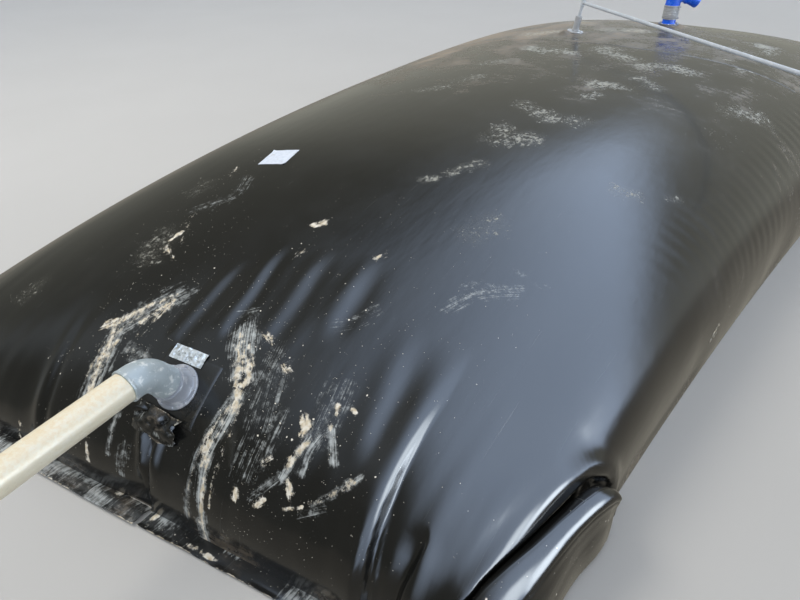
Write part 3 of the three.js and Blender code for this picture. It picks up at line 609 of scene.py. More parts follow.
FILMS = [
    (0.06, 0.62, [(-3.08, 0.6), (-3.18, 0.66), (-3.3, 0.73)]),
    (0.05, 0.66, [(-3.31, 0.73), (-3.4, 0.7), (-3.54, 0.66)]),
    (0.04, 0.66, [(-3.34, 0.61), (-3.35, 0.56), (-3.34, 0.51)]),
    (0.024, 0.4, [(-3.02, 0.54), (-3.06, 0.56), (-3.1, 0.57)]),
    (0.055, 0.8, [(-3.09, 0.155), (-3.15, 0.11), (-3.2, 0.06)]),
    (0.024, 0.9, [(-3.28, 0.01), (-3.35, 0.0), (-3.42, 0.0), (-3.5, 0.0), (-3.6, -0.03)]),
    (0.014, 0.6, [(-3.3, 0.03), (-3.4, 0.045), (-3.5, 0.05), (-3.6, 0.045)]),
    (0.06, 0.34, [(-3.17, -0.08), (-3.26, -0.12), (-3.34, -0.15), (-3.44, -0.16)]),
    (0.03, 0.36, [(-3.26, -0.2), (-3.33, -0.21), (-3.4, -0.22)]),
    (0.05, 0.34, [(-3.1, -0.02), (-3.18, -0.04), (-3.27, -0.06)]),
    (0.018, 0.95, [(-3.215, -0.39), (-3.255, -0.425), (-3.29, -0.455)]),
    (0.016, 0.7, [(-3.25, -0.37), (-3.3, -0.36), (-3.36, -0.37)]),
    (0.014, 0.85, [(-3.27, -0.33), (-3.33, -0.32), (-3.4, -0.31)]),
    (0.012, 0.75, [(-3.4, -0.3), (-3.45, -0.26), (-3.49, -0.22)]),
    (0.05, 0.4, [(-3.1, -0.33), (-3.2, -0.35), (-3.3, -0.36)]),
    (0.014, 0.6, [(-3.28, -0.57), (-3.35, -0.51), (-3.41, -0.45)]),
    (0.012, 0.5, [(-3.4, -0.5), (-3.45, -0.42)]), (0.03, 0.45, [(-3.6, 0.4), (-3.64, 0.4)]),
    (0.014, 0.6, [(-3.5, 0.47), (-3.57, 0.48), (-3.63, 0.47)]),
    (0.01, 0.5, [(-2.31, -0.63), (-2.32, -0.7), (-2.31, -0.77)]),
    (0.014, 0.46, [(-2.5, -0.49), (-2.45, -0.54), (-2.44, -0.6)]),
    (0.03, 0.34, [(-2.62, -0.5), (-2.5, -0.56), (-2.4, -0.68)]),
    (0.026, 0.4, [(-2.88, -0.17), (-2.84, -0.22), (-2.76, -0.26)]),
    (0.02, 0.36, [(-3.02, 0.24), (-2.99, 0.2)]), (0.05, 0.34, [(-2.6, 1.0), (-2.44, 0.9), (-2.3, 0.96)]),
]
# Dried puddles: mottled patches of fine silt
PUDDLES = [
    (0.09, 0.74, [(-1.02, -0.19), (-0.96, -0.12), (-0.93, -0.02), (-0.89, 0.05)]),
    (0.09, 0.92, [(-1.27, -0.02), (-1.37, -0.06), (-1.36, -0.12), (-1.31, -0.2)]),
    (0.06, 0.6, [(-1.41, 0.02), (-1.46, -0.05)]),
    (0.05, 0.68, [(-1.83, -0.03), (-1.76, -0.06), (-1.69, -0.1)]),
    (0.035, 0.8, [(-1.95, 0.05), (-1.92, 0.01)]),
    (0.08, 0.9, [(-0.31, -0.2), (-0.27, -0.27), (-0.3, -0.34)]),
    (0.05, 0.74, [(-0.58, -0.24), (-0.5, -0.27)]),
    (0.07, 0.74, [(-0.03, -0.38), (-0.08, -0.45), (-0.17, -0.51)]),
    (0.1, 0.9, [(0.28, -0.31), (0.37, -0.42), (0.35, -0.52), (0.32, -0.59)]),
    (0.12, 1.0, [(0.58, 0.11), (0.5, -0.02), (0.4, -0.16)]),
    (0.11, 0.94, [(0.44, 0.62), (0.34, 0.49), (0.4, 0.41), (0.38, 0.29)]),
    (0.12, 0.6, [(-0.1, 0.7), (-0.02, 0.6)]), (0.07, 0.66, [(-0.88, 0.8), (-0.78, 0.7)]),
    (0.1, 0.6, [(-0.56, 0.66), (-0.48, 0.58)]), (0.08, 0.55, [(-0.99, -0.3), (-0.94, -0.36)]),
    (0.09, 0.5, [(-2.46, 1.16), (-2.38, 1.2)]), (0.1, 0.6, [(-2.95, 0.95), (-2.84, 0.98)]),
    (0.08, 0.5, [(-3.34, 1.46), (-3.28, 1.44)]), (0.05, 0.66, [(-1.53, -0.76), (-1.49, -0.84)]),
    (0.04, 0.6, [(-1.36, -0.97), (-1.32, -1.0)]),
    (0.1, 0.66, [(-0.14, -0.94), (-0.05, -1.05), (0.03, -1.16)]),
    (0.12, 0.3, [(-0.6, -0.92), (-0.52, -1.0)]), (0.09, 0.5, [(-2.2, -0.36), (-2.1, -0.4)]),
    (0.1, 0.95, [(1.66, -0.84), (1.54, -0.91), (1.43, -0.95)]), (0.05, 0.85, [(0.8, -0.67), (0.85, -0.74)]),
    (0.05, 0.8, [(0.72, -0.85), (0.77, -0.91)]), (0.14, 0.8, [(1.05, 0.92), (1.14, 0.72)]),
    (0.15, 0.85, [(1.36, 0.36), (1.44, 0.22), (1.47, 0.09)]), (0.1, 0.66, [(1.3, -0.32), (1.34, -0.4)]),
    (0.08, 0.6, [(1.22, -0.64), (1.3, -0.7)]), (0.2, 0.55, [(1.7, 0.6), (1.9, 0.8)]),
    (0.16, 0.55, [(2.4, -0.5), (2.6, -0.35)]), (0.14, 0.55, [(2.1, 1.1), (2.3, 1.2)]),
    (0.16, 0.5, [(2.8, 0.2), (2.9, 0.0)]),
]
# Where small splashes of mud are scattered, in the same way
SPLASHES = [
    (0.34, 0.95, [(-3.1, 0.1), (-3.3, -0.1), (-3.45, -0.2)]),
    (0.26, 0.8, [(-3.05, 0.55), (-3.3, 0.68), (-3.5, 0.66)]), (0.24, 0.7, [(-3.1, -0.38), (-3.4, -0.42)]),
    (0.34, 0.25, [(-2.8, 0.2), (-2.9, -0.2), (-2.8, -0.5)]),
    (0.24, 0.4, [(-2.9, 0.9), (-2.6, 0.95), (-2.3, 1.0)]), (0.3, 0.12, [(-2.3, 0.0), (-2.2, -0.4)]),
    (0.2, 0.12, [(-3.4, -0.6), (-3.2, -0.8)]),
]


def painted(points, strokes, soft=0.3):
    """How strongly a set of strokes covers each point of the sheet, from 0 to 1, and the metres
    along and across the strongest stroke there, with its number."""
    cover = np.zeros(points.shape[:-1])
    flow = np.zeros(points.shape)
    for number, (width, strength, places) in enumerate(strokes):
        close = close_to(points, places, 2 * width + 0.02)
        if close.any():
            distance, share, side, run, beside = path_reach(points[close], places)
            uneven = 1 + 0.5 * wander(run / 0.04 + 7 * number, side * 1.5 + 3, 111)
            amount = strength * ease(1.7, soft, distance / (width * uneven))
            stronger = amount > cover[close]
            lines = np.stack([run, beside, np.full_like(share, number * 0.37)], axis=-1)
            flow[close] = np.where(stronger[:, None], lines, flow[close])
            cover[close] = np.maximum(cover[close], amount)
    return cover, flow


# Materials

class Wiring:
    """Adds shader nodes: every method makes one node and gives its output."""

    def __init__(self, tree):
        self.tree = tree

    def node(self, kind, output=0, inputs=None, **settings):
        node = self.tree.nodes.new(kind)
        for key, value in settings.items():
            setattr(node, key, value)
        for key, value in (inputs or {}).items():
            self.wire(node.inputs[key], value)
        return node.outputs[output]

    def wire(self, socket, value):
        if isinstance(value, bpy.types.NodeSocket):
            self.tree.links.new(value, socket)
        else:
            socket.default_value = value

    def math(self, operation, a, b=0.0):
        return self.node("ShaderNodeMath", 0, {0: a, 1: b}, operation=operation)

    def times(self, a, b):
        return self.math("MULTIPLY", a, b)

    def plus(self, a, b):
        return self.math("ADD", a, b)

    def ramp(self, value, low, high, start=0.0, end=1.0):
        """A smooth step from start to end as value goes from low to high."""
        return self.node("ShaderNodeMapRange", 0, interpolation_type="SMOOTHSTEP", inputs={
            "Value": value, "From Min": low, "From Max": high, "To Min": start, "To Max": end})

    def blend(self, share, a, b):
        return self.node("ShaderNodeMix", 2, {0: share, 6: a, 7: b}, data_type="RGBA")


def colour(r, g, b):
    return (r, g, b, 1.0)


class Finish(Wiring):
    """A procedural material being wired."""

    def __init__(self, name, **sockets):
        self.material = bpy.data.materials.new(name)
        self.material.use_nodes = True
        super().__init__(self.material.node_tree)
        self.shader = self.tree.nodes["Principled BSDF"]
        self.place = self.node("ShaderNodeTexCoord", "Object")
        for key, value in sockets.items():
            self.set(key.replace("_", " "), value)

    def set(self, socket, value):
        self.wire(self.shader.inputs[socket], value)

    def attribute(self, name, output="Fac"):
        return self.node("ShaderNodeAttribute", output, attribute_name=name)

    def scaled(self, vector, *scale):
        return self.node("ShaderNodeMapping", 0, {"Vector": vector, "Scale": scale})

    def noise(self, scale, detail, rough, vector=None, distortion=0.0):
        return self.node("ShaderNodeTexNoise", "Fac", {
            "Vector": vector or self.place, "Scale": scale, "Detail": detail,
            "Roughness": rough, "Distortion": distortion})

    def specks(self, scale, low, high, amount, ragged):
        """Small scattered spots: 1 on a spot; amount is the share of cells that have one."""
        cell = self.tree.nodes.new("ShaderNodeTexVoronoi")
        self.wire(cell.inputs["Vector"], self.place)
        self.wire(cell.inputs["Scale"], scale)
        edge = self.times(self.math("SUBTRACT", ragged, 0.5), 0.9)
        spot = self.ramp(self.plus(cell.outputs["Distance"], edge), high, low)
        chosen = self.node("ShaderNodeSeparateColor", 0, {"Color": cell.outputs["Color"]})
        return self.times(spot, self.math("LESS_THAN", chosen, amount))

    def bump(self, height, distance, strength, normal=None):
        inputs = {"Height": height, "Distance": distance, "Strength": strength}
        if normal is not None:
            inputs["Normal"] = normal
        return self.node("ShaderNodeBump", 0, inputs)


BLACK = colour(0.0066, 0.0067, 0.0062)
CREAM_MUD = colour(0.58, 0.49, 0.34)
PALE_MUD = colour(0.76, 0.72, 0.63)
WHITE_FILM = colour(0.56, 0.59, 0.58)
GREY_FILM = colour(0.3, 0.31, 0.31)
SILT = colour(0.4, 0.39, 0.33)
# Tan dust. Around and beyond the seam it also paints a reflection of brown earth.
TAN_DUST_AND_REFLECTION = colour(0.36, 0.28, 0.19)


def sheet_finish(name, haze=0.0):
    """Glossy black membrane with dried mud, thin films, silt, tan dust, splashes and scratches. Around and
    beyond the seam, the tan is partly a painted reflection of brown earth.
    """
    f = Finish(name, IOR=1.5)
    place, flow = f.attribute("place", "Vector"), f.attribute("flow", "Vector")
    streak = f.noise(1.0, 3.0, 0.5, f.scaled(flow, 4.0, 60.0, 9.0), 0.9)
    brush = f.noise(1.0, 3.5, 0.55, f.scaled(flow, 2.6, 105.0, 9.0), 1.2)
    sweep = f.noise(1.0, 5.0, 0.65, f.scaled(place, 26.0, 4.0, 1.0))
    blotch = f.noise(34.0, 8.0, 0.7)
    silt = f.noise(36.0, 10.0, 0.78)
    broad = f.noise(3.2, 5.0, 0.6)
    grain = f.noise(240.0, 4.0, 0.6)

    def broken(key, parts, low, high, full=1.0):
        """Where a painted amount shows, broken up by (noise, weight) pairs."""
        amount = total = f.attribute(key)
        for noise, weight in parts:
            total = f.plus(total, f.times(f.math("SUBTRACT", noise, 0.5), weight))
        return f.times(f.ramp(total, low, high, 0.0, full), f.ramp(amount, 0.02, 0.22))

    mud_cover = broken("mud", ((streak, 1.5), (blotch, 2.4)), 0.5, 0.86)
    film_cover = broken("film", ((brush, 2.0), (blotch, 2.3)), 0.26, 1.25, 0.8)
    silt_cover = broken("puddle", ((silt, 5.2), (broad, 1.6)), 0.67, 1.25, 0.76)
    rings = f.ramp(f.math("ABSOLUTE", f.math("SUBTRACT", silt, 0.47)), 0.016, 0.0)
    rings = f.times(rings, f.ramp(f.attribute("puddle"), 0.12, 0.6, 0.0, 0.22))
    silt_cover = f.math("MAXIMUM", silt_cover, rings)
    # Tan cover: dust, which around and beyond the seam is partly a painted reflection of brown earth
    dust_cover = broken("dust", ((sweep, 0.9), (broad, 1.6), (blotch, 0.9)), 0.2, 1.3, 0.9)

    splash = f.attribute("splash")
    fine_spots = f.specks(150.0, 0.06, 0.18, f.times(splash, 0.2), blotch)
    large_spots = f.specks(46.0, 0.05, 0.16, f.times(splash, 0.1), blotch)
    speck = f.times(f.specks(70.0, 0.04, 0.11, 0.014, blotch), f.ramp(broad, 0.5, 0.65, 0.0, 0.5))
    speck = f.math("MAXIMUM", speck, f.math("MAXIMUM", fine_spots, large_spots))
    scratch = f.ramp(f.noise(1.0, 2.0, 0.5, f.scaled(place, 2.2, 150.0, 1.0), 0.6), 0.69, 0.76)
    scratch = f.times(scratch, f.ramp(broad, 0.45, 0.65, 0.0, 0.35))

    veil = f.ramp(broad, 0.35, 0.75, haze, haze + 0.012)
    veil = f.plus(veil, f.times(f.attribute("dust"), 0.09))
    base = f.blend(veil, BLACK, GREY_FILM)
    base = f.blend(scratch, base, colour(0.16, 0.16, 0.155))
    base = f.blend(film_cover, base, WHITE_FILM)
    base = f.blend(dust_cover, base, f.blend(grain, colour(0.22, 0.17, 0.115), TAN_DUST_AND_REFLECTION))
    base = f.blend(silt_cover, base, SILT)
    base = f.blend(speck, base, PALE_MUD)
    mud_colour = f.blend(f.ramp(f.noise(55.0, 5.0, 0.6), 0.35, 0.62), CREAM_MUD, PALE_MUD)
    brown = f.ramp(f.noise(90.0, 6.0, 0.65), 0.56, 0.68, 0.0, 0.7)
    mud_colour = f.blend(brown, mud_colour, colour(0.33, 0.23, 0.13))
    f.set("Base Color", f.blend(mud_cover, base, mud_colour))

    rough = f.ramp(broad, 0.3, 0.7, 0.165, 0.205)
    for cover, weight in ((film_cover, 0.45), (silt_cover, 0.6), (dust_cover, 0.75), (mud_cover, 0.6)):
        rough = f.plus(rough, f.times(cover, weight))
    f.set("Roughness", f.math("MINIMUM", rough, 0.95))

    soft = f.noise(1.0, 2.0, 0.5, f.scaled(place, 6.0, 14.0, 1.0))
    dent = f.bump(soft, 0.0015, 0.6)
    crust = f.times(mud_cover, f.plus(grain, 0.6))
    fine = f.plus(crust, f.times(f.noise(120.0, 3.0, 0.5), 0.04))
    f.set("Normal", f.bump(fine, 0.0012, 0.7, dent))
    return f.material


def plastic_finish(name, tone, shade, roughness, wear, wear_tone, grime, painted_sunlight=None):
    """Moulded plastic with scuffs, grime and faint flow marks. Where a tone for it is given, warm sunlight is
    painted on its upper faces.
    """
    f = Finish(name, IOR=1.48)
    broad = f.noise(9.0, 5.0, 0.6)
    fine = f.noise(70.0, 7.0, 0.65)
    grain = f.noise(420.0, 3.0, 0.55)
    base = f.blend(f.ramp(broad, 0.3, 0.7), colour(*tone), colour(*shade))
    # Painted sunlight: upper faces, by their normals, are warmed towards this tone as though lit from above.
    if painted_sunlight is not None:
        place = f.node("ShaderNodeSeparateXYZ", 2, {"Vector": f.node("ShaderNodeTexCoord", "Normal")})
        upper = f.times(f.ramp(place, 0.1, 0.8), f.ramp(fine, 0.35, 0.62))
        base = f.blend(f.times(upper, 0.8), base, colour(*painted_sunlight))
    dirt = f.times(f.ramp(fine, 0.52, 0.75), grime)
    base = f.blend(dirt, base, colour(0.2, 0.165, 0.12))
    scuff = f.times(f.ramp(f.noise(26.0, 8.0, 0.7), 0.53, 0.62), wear)
    f.set("Base Color", f.blend(scuff, base, colour(*wear_tone)))
    rough = f.plus(f.ramp(fine, 0.3, 0.7, roughness - 0.06, roughness + 0.08),
                   f.times(scuff, 0.25))
    f.set("Roughness", rough)
    marks = f.plus(f.times(fine, 0.7), f.times(grain, 0.3))
    f.set("Normal", f.bump(marks, 0.0009, 0.35))
    return f.material


def tape_finish():
    f = Finish("silver_tape", IOR=1.45)
    fine = f.noise(60.0, 5.0, 0.6)
    tone = f.blend(f.ramp(fine, 0.35, 0.65), colour(0.46, 0.5, 0.52), colour(0.68, 0.72, 0.74))
    f.set("Base Color", f.blend(f.ramp(f.noise(22.0, 6.0, 0.7), 0.56, 0.68), tone, colour(0.2, 0.18, 0.15)))
    f.set("Metallic", f.ramp(fine, 0.3, 0.8, 0.55, 0.25))
    f.set("Roughness", f.ramp(fine, 0.3, 0.7, 0.24, 0.42))
    f.set("Normal", f.bump(f.noise(240.0, 3.0, 0.5), 0.0005, 0.4))
    return f.material


def label_finish():
    f = Finish("label_white", IOR=1.45)
    fine = f.noise(48.0, 6.0, 0.6)
    tone = f.blend(f.ramp(fine, 0.35, 0.7), colour(0.7, 0.76, 0.86), colour(0.6, 0.66, 0.76))
    dirt = f.ramp(f.noise(30.0, 8.0, 0.7), 0.55, 0.68, 0.0, 0.5)
    f.set("Base Color", f.blend(dirt, tone, colour(0.3, 0.27, 0.22)))
    f.set("Roughness", f.ramp(fine, 0.3, 0.7, 0.35, 0.5))
    f.set("Normal", f.bump(fine, 0.0006, 0.3))
    return f.material


def steel_finish():
    f = Finish("clamp_steel", Metallic=1.0)
    brushed = f.noise(1.0, 3.0, 0.5, f.scaled(f.place, 40.0, 40.0, 900.0))
    f.set("Base Color", f.blend(brushed, colour(0.48, 0.49, 0.5), colour(0.66, 0.67, 0.68)))
    f.set("Roughness", f.ramp(f.noise(35.0, 6.0, 0.6), 0.35, 0.7, 0.26, 0.5))
    f.set("Normal", f.bump(brushed, 0.0003, 0.3))
    return f.material


BLACK_SHEET = sheet_finish("black_sheet")
FAR_SHEET = sheet_finish("far_sheet", 0.02)
HEM_SHEET = sheet_finish("hem_sheet", 0.03)
# Each plastic's tone and shade, roughness, wear and its tone, grime, and a warm tone painted on upper faces
# as sunlight
CREAM_PIPE = plastic_finish("cream_pipe", (0.8, 0.76, 0.62), (0.78, 0.72, 0.56), 0.32,
                            0.3, (0.82, 0.8, 0.72), 0.05, (0.76, 0.64, 0.44))
GREY_FITTING = plastic_finish("grey_fitting", (0.38, 0.44, 0.47), (0.33, 0.39, 0.42), 0.32,
                              0.8, (0.7, 0.73, 0.72), 0.15)
GREY_FLANGE = plastic_finish("grey_flange", (0.32, 0.345, 0.385), (0.28, 0.3, 0.34), 0.36,
                             0.5, (0.62, 0.63, 0.64), 0.12)
GAS_PIPE = plastic_finish("gas_pipe", (0.52, 0.56, 0.6), (0.46, 0.5, 0.54), 0.34,
                          0.4, (0.68, 0.7, 0.71), 0.15)
BLUE_PIPE = plastic_finish("blue_pipe", (0.004, 0.125, 0.86), (0.004, 0.105, 0.74), 0.26,
                           0.3, (0.2, 0.4, 0.85), 0.12)
PALE_SLEEVE = plastic_finish("pale_sleeve", (0.4, 0.41, 0.42), (0.33, 0.34, 0.35), 0.42,
                             0.6, (0.6, 0.6, 0.58), 0.4)
CLAMP_DULL = plastic_finish("clamp_dull", (0.3, 0.31, 0.33), (0.24, 0.25, 0.27), 0.36,
                            0.5, (0.52, 0.53, 0.54), 0.3)
DUSTY_BLUE = plastic_finish("dusty_blue", (0.1, 0.13, 0.22), (0.16, 0.15, 0.14), 0.5,
                            0.5, (0.3, 0.26, 0.2), 0.9)
STEEL = steel_finish()
TAPE = tape_finish()
LABEL = label_finish()


# The bag's sheet, from one grid for all panels, so that borders and normals match

def bag_lines(table, arc):
    lines = [even_lines(start, end, cells, arc) for start, end, cells in table.values()]
    return np.concatenate([lines[0]] + [line[1:] for line in lines[1:]])


ALONG = bag_lines(BANDS, ALONG_ARC)
ACROSS = bag_lines(STRIPS, ACROSS_ARC)
GRID_ALONG, GRID_ACROSS = np.meshgrid(ALONG, ACROSS, indexing="ij")
SKIN = draped(GRID_ALONG, GRID_ACROSS)
SKIN[..., 2] = np.maximum(SKIN[..., 2], 0.0)
SKIN_NORMALS = grid_normals(SKIN)
SMOOTH_SKIN = skin(GRID_ALONG, GRID_ACROSS)


def dust_cover(points, along, across):
    """Tan dust: on the left flank and its rim, low along the feet, and around and beyond the seam, where it
    is partly a painted reflection of brown earth.
    """
    flank = ease(30, 60, across) * 0.1
    rim = ease(54, 66, across) * ease(-84, -60, along)
    rim = rim * (0.42 + 0.3 * ease(-50, 0, along))
    right = ease(-30, -60, across) * ease(-45, -10, along) * 0.13
    # Around and beyond the seam: dust and a painted reflection of brown earth, stronger towards the left
    beyond = ease(6.4, 7.0, along) * (0.33 + 0.6 * ease(-25, 45, across))
    beyond = np.maximum(beyond, ease(-20, 7, along) * (0.27 + 0.58 * ease(-12, 48, across)))
    beyond = beyond * (1 - 0.55 * ease(22, 50, along))
    feet = ease(0.2, 0.0, points[..., 2]) * 0.35
    return np.clip(np.maximum.reduce([flank, rim, right, beyond, feet]), 0, 1.2)


def sheet_paint(points, along, across):
    """What the sheet's material reads at each point."""
    mud, flow = painted(points, MUD)
    film, film_flow = painted(points, FILMS)
    place = sheet_vectors(along, across)
    flow = np.where((film > mud)[..., None], film_flow, flow)
    flow = np.where((np.maximum(film, mud) > 0)[..., None], flow, place)
    return {"mud": mud, "film": film, "flow": flow, "place": place,
            "puddle": painted(points, PUDDLES, 0.1)[0], "splash": painted(points, SPLASHES, 0.1)[0],
            "dust": dust_cover(points, along, across)}


PAINT = sheet_paint(SMOOTH_SKIN, GRID_ALONG, GRID_ACROSS)


def bore_cells(points):
    """Cells of the grid that no bore cuts."""
    middle = (points[:-1, :-1] + points[1:, 1:]) / 2
    keep = np.ones(middle.shape[:2], bool)
    for seat in SEATS.values():
        keep &= length(middle - seat["base"]) > seat["bore"]
    return keep


def add_skins():
    row = 0
    for band, (_, _, rows) in BANDS.items():
        distance, kind = band.split("_")
        far = distance == "far"
        column = 0
        for place, (_, _, columns) in zip(STRIP_NAMES[kind], STRIPS.values()):
            part = np.s_[row:row + rows + 1, column:column + columns + 1]
            points = SKIN[part]
            keep = bore_cells(points)
            vertices, faces, normals, used = shell_mesh(points, SKIN_NORMALS[part], MEMBRANE, keep)
            node = f"{band}_{place}"
            piece = make_object(f"skin_{node}", vertices, faces, FAR_SHEET if far else BLACK_SHEET, normals)
            for name, field in PAINT.items():
                set_doubled(piece, name, field[part], used)
            dress(piece, "far_sheet" if far else "black_sheet", node)
            column += columns
        row += rows


def laid_piece(name, points, along, across, material, slot, node, thickness, place=None, **paint):
    """A closed thin sheet over a grid of points. Paint gives its mud, film, splash and its tan layer, which
    is dust and, near the seam, painted reflection.
    """
    vertices, faces, vertex_normals, used = shell_mesh(points, grid_normals(points), thickness)
    piece = make_object(name, vertices, faces, material, vertex_normals)
    place = sheet_vectors(along, across) if place is None else place
    set_doubled(piece, "place", place, used)
    set_doubled(piece, "flow", place, used)
    for attribute, amount in paint.items():
        set_doubled(piece, attribute, np.array(np.broadcast_to(amount, along.shape), float), used)
    dress(piece, slot, node)


def plan_piece(centre, direction, size, cells, lift):
    """Grid places and points of a flat cut laid on the folded sheet. The direction is its
    width's, seen from above; lift(a, b) is its height over the sheet, for shares from -1 to 1."""
    a, b = np.meshgrid(np.linspace(-1, 1, cells[0] + 1), np.linspace(-1, 1, cells[1] + 1), indexing="ij")
    seat = on_skin([centre])[0]
    normal = skin_normal(*[np.array(v, float) for v in grid_place(*centre)])
    width = np.array([*direction, 0.0])
    width = unit(width - normal * (width @ normal))
    depth = np.cross(normal, width)
    flat = seat + (a * size[0] / 2)[..., None] * width + (b * size[1] / 2)[..., None] * depth
    along, across = grid_place(flat[..., 0], flat[..., 1])
    return draped(along, across, lift(a, b)), along, across


add_skins()


# Laid pieces: seam, patches, tape, label, flap and hems. A place is in metres seen from above, a
# direction is that of a piece's width, and a size is its width and depth.
SEAM_LINES = (6.6, 6.66, 6.95, 7.3, 7.65, 7.94, 8.0)
SEAM_RISES = (-0.0006, 0.0014, 0.0018, 0.0018, 0.0018, 0.0014, -0.0006)
TAPE_PLACE = (-3.255, 0.312)
TAPE_DIRECTION = (0.12, -1.0)
TAPE_SIZE = (0.172, 0.062)
LABEL_PLACE = (-2.03, 0.975)
LABEL_DIRECTION = (0.97, 0.22)
LABEL_SIZE = (0.175, 0.175)
PATCH_DIRECTION = (0.09, -1.0)
PATCHES = [("patch_inlet", "inlet_patch", (-3.352, 0.272), (0.285, 0.262), "black_sheet", BLACK_SHEET, 0.12),
           ("patch_outlet", "outlet_patch", (2.032, 0.0), (0.3, 0.27), "far_sheet", FAR_SHEET, 0.8)]


def add_laid_pieces():
    across = bag_lines({"middle": STRIPS["middle"]}, ACROSS_ARC)
    a, b = np.meshgrid(SEAM_LINES, across, indexing="ij")
    points = draped(a, b, np.array(SEAM_RISES)[:, None])
    # The seam strip's tan is dust and partly a painted reflection of brown earth
    laid_piece("seam_strip", points, a, b, FAR_SHEET, "far_sheet", "cross_seam", SEAM_STRIP,
               dust=0.3 + 0.6 * ease(-25, 45, across))

    edge = lambda v: 0.0026 * ease(1.0, 0.94, np.abs(v))
    rim = lambda a, b: np.minimum(edge(a), edge(b)) + 0.0008
    for name, node, seat, size, slot, material, dust in PATCHES:
        points, a, b = plan_piece(seat, PATCH_DIRECTION, size, (44, 40), rim)
        laid_piece(name, points, a, b, material, slot, node, PATCH, dust=dust)

    def tape_lift(a, b):
        crumple = wander(a * 5.5 + 3, b * 2.2, 51) + 0.5 * wander(a * 11, b * 5 + 7, 52)
        ragged = 0.0015 * ease(0.7, 1.0, np.abs(a))
        return 0.0062 + 0.0022 * crumple + ragged

    points, a, b = plan_piece(TAPE_PLACE, TAPE_DIRECTION, TAPE_SIZE, (64, 26), tape_lift)
    laid_piece("tape", points, a, b, TAPE, "silver_tape", "inlet_tape", THIN_FILM)

    def label_lift(a, b):
        curl = 0.004 * ease(0.75, 1.0, a * b) + 0.001 * wander(a * 3, b * 3, 61)
        return 0.0016 + np.maximum(curl, 0)

    points, a, b = plan_piece(LABEL_PLACE, LABEL_DIRECTION, LABEL_SIZE, (40, 30), label_lift)
    laid_piece("label", points, a, b, LABEL, "label_white", "blank_label", THIN_FILM)


FLAP_HALF = (0.108, 0.056)


def add_flap():
    """The crumpled loose end of sheet under the elbow, seated where the CAD has it."""
    centre = box_centre("inlet_flap")
    normal = skin_normal(np.array(INLET_SEAT[0] - 9), np.array(INLET_SEAT[1]))
    up = unit(np.cross([0.0, 1.0, 0.0], normal))
    width = unit(np.cross(normal, up))
    a, b = np.meshgrid(np.linspace(-1, 1, 49), np.linspace(-1, 1, 33), indexing="ij")
    crumple = wander(a * 2.6 + 4, b * 1.8, 71) + 0.5 * wander(a * 6, b * 4 + 2, 72)
    folds = np.abs(np.sin(3.1 * a + 1.3 * b + 0.6)) ** 0.6 * 0.024
    ragged = 1 + 0.1 * wander(a * 3, b * 3 + 5, 73)
    rise = 0.007 + 0.007 * crumple + folds * ease(1.2, 0.2, np.abs(b))
    points = (centre + (a * FLAP_HALF[0] * ragged)[..., None] * width
              + (b * FLAP_HALF[1] * ragged)[..., None] * up + np.maximum(rise, 0.0)[..., None] * normal)
    along, across = grid_place(points[..., 0], points[..., 1])
    brown = 0.45 * ease(0.2, 0.7, crumple)
    edges = ease(0.86, 1.0, np.maximum(np.abs(a), np.abs(b))) * ease(-0.3, 0.4, crumple)
    laid_piece("flap", points, along, across, BLACK_SHEET, "black_sheet", "inlet_flap", PATCH,
               dust=brown, mud=edges * 0.7, film=0.55 * ease(0.3, -0.6, crumple))


def add_hem(name, node, from_y, to_y, width, end, lift, dust, cells):
    """A flat welded hem on the floor. lift(y, v) is its height, v running from 0 at the bag to 1."""
    y, v = np.meshgrid(np.linspace(from_y, to_y, cells[0] + 1), np.linspace(0, 1, cells[1] + 1),
                       indexing="ij")
    edge = -BAG_LENGTH / 2 - HEM_SKEW * y if end < 0 else np.full_like(y, BAG_LENGTH / 2)
    reach = width * (1 - 0.03 * (1 + wander(y / 0.16, v * 0 + 3, 81)))
    x = edge + end * (v * reach - 0.012 * (1 - v))
    points = np.stack([x, y, 0.003 + np.maximum(lift(y, v), 0.0)], axis=-1)
    if end < 0:
        points, v, y = points[:, ::-1], v[:, ::-1], y[:, ::-1]
    points = points.transpose(1, 0, 2)
    along, across = np.full_like(y.T, 89.0 * end), np.degrees(y.T / 2.2)
    v = v.T
    chips = wander(y.T / 0.07, v * 2.4, 83)
    rims = np.maximum(ease(0.92, 1.0, v), ease(0.05, 0.0, v)) * ease(-0.7, 0.1, chips)
    patches = ease(0.62, 0.9, wander(y.T / 0.11, v * 1.4, 84))
    streaks = wander(y.T / 0.16, v * 1.2, 85)
    laid_piece(name, points, along, across, HEM_SHEET, "hem_sheet", node, MEMBRANE, place=points,
               dust=dust + 0.15 * chips, mud=np.maximum(rims * 0.85, patches * 0.8),
               film=0.55 * ease(-0.1, 0.6, streaks) + 0.26 * ease(-0.15, 0.2, y.T),
               splash=np.full_like(v, 0.5))


def add_hems():
    def right_lift(y, v):
        wave = 0.004 + 0.004 * wander(y / 0.13, v * 1.5, 91)
        lips = ease(-0.3, 0.6, wander(y / 0.09, v * 0, 92))
        return wave * v + 0.006 * ease(0.8, 1.0, v) * lips

    def left_lift(y, v):
        roll = 0.016 * np.sin(math.pi * v) * (0.7 + 0.5 * wander(y / 0.2, v * 0, 93))
        curl = 0.012 * ease(0.7, 1.0, v)
        lumps = 0.022 * ease(0.78, 0.92, y) * ease(1.12, 0.98, y) * np.sin(math.pi * v)
        return roll + curl + lumps

    def far_lift(y, v):
        return 0.006 * v + 0.005 * v * wander(y / 0.16, v * 1.2, 94)

    add_hem("hem_right", "near_hem_right", -0.9, 0.25, width=0.076, end=-1, lift=right_lift,
            dust=0.06, cells=(220, 18))
    add_hem("hem_left", "near_hem_left", 0.262, 2.2, width=0.085, end=-1, lift=left_lift,
            dust=0.34, cells=(300, 14))
    add_hem("hem_far", "far_hem", -2.2, 2.2, width=0.1, end=1, lift=far_lift,
            dust=0.6, cells=(300, 12))


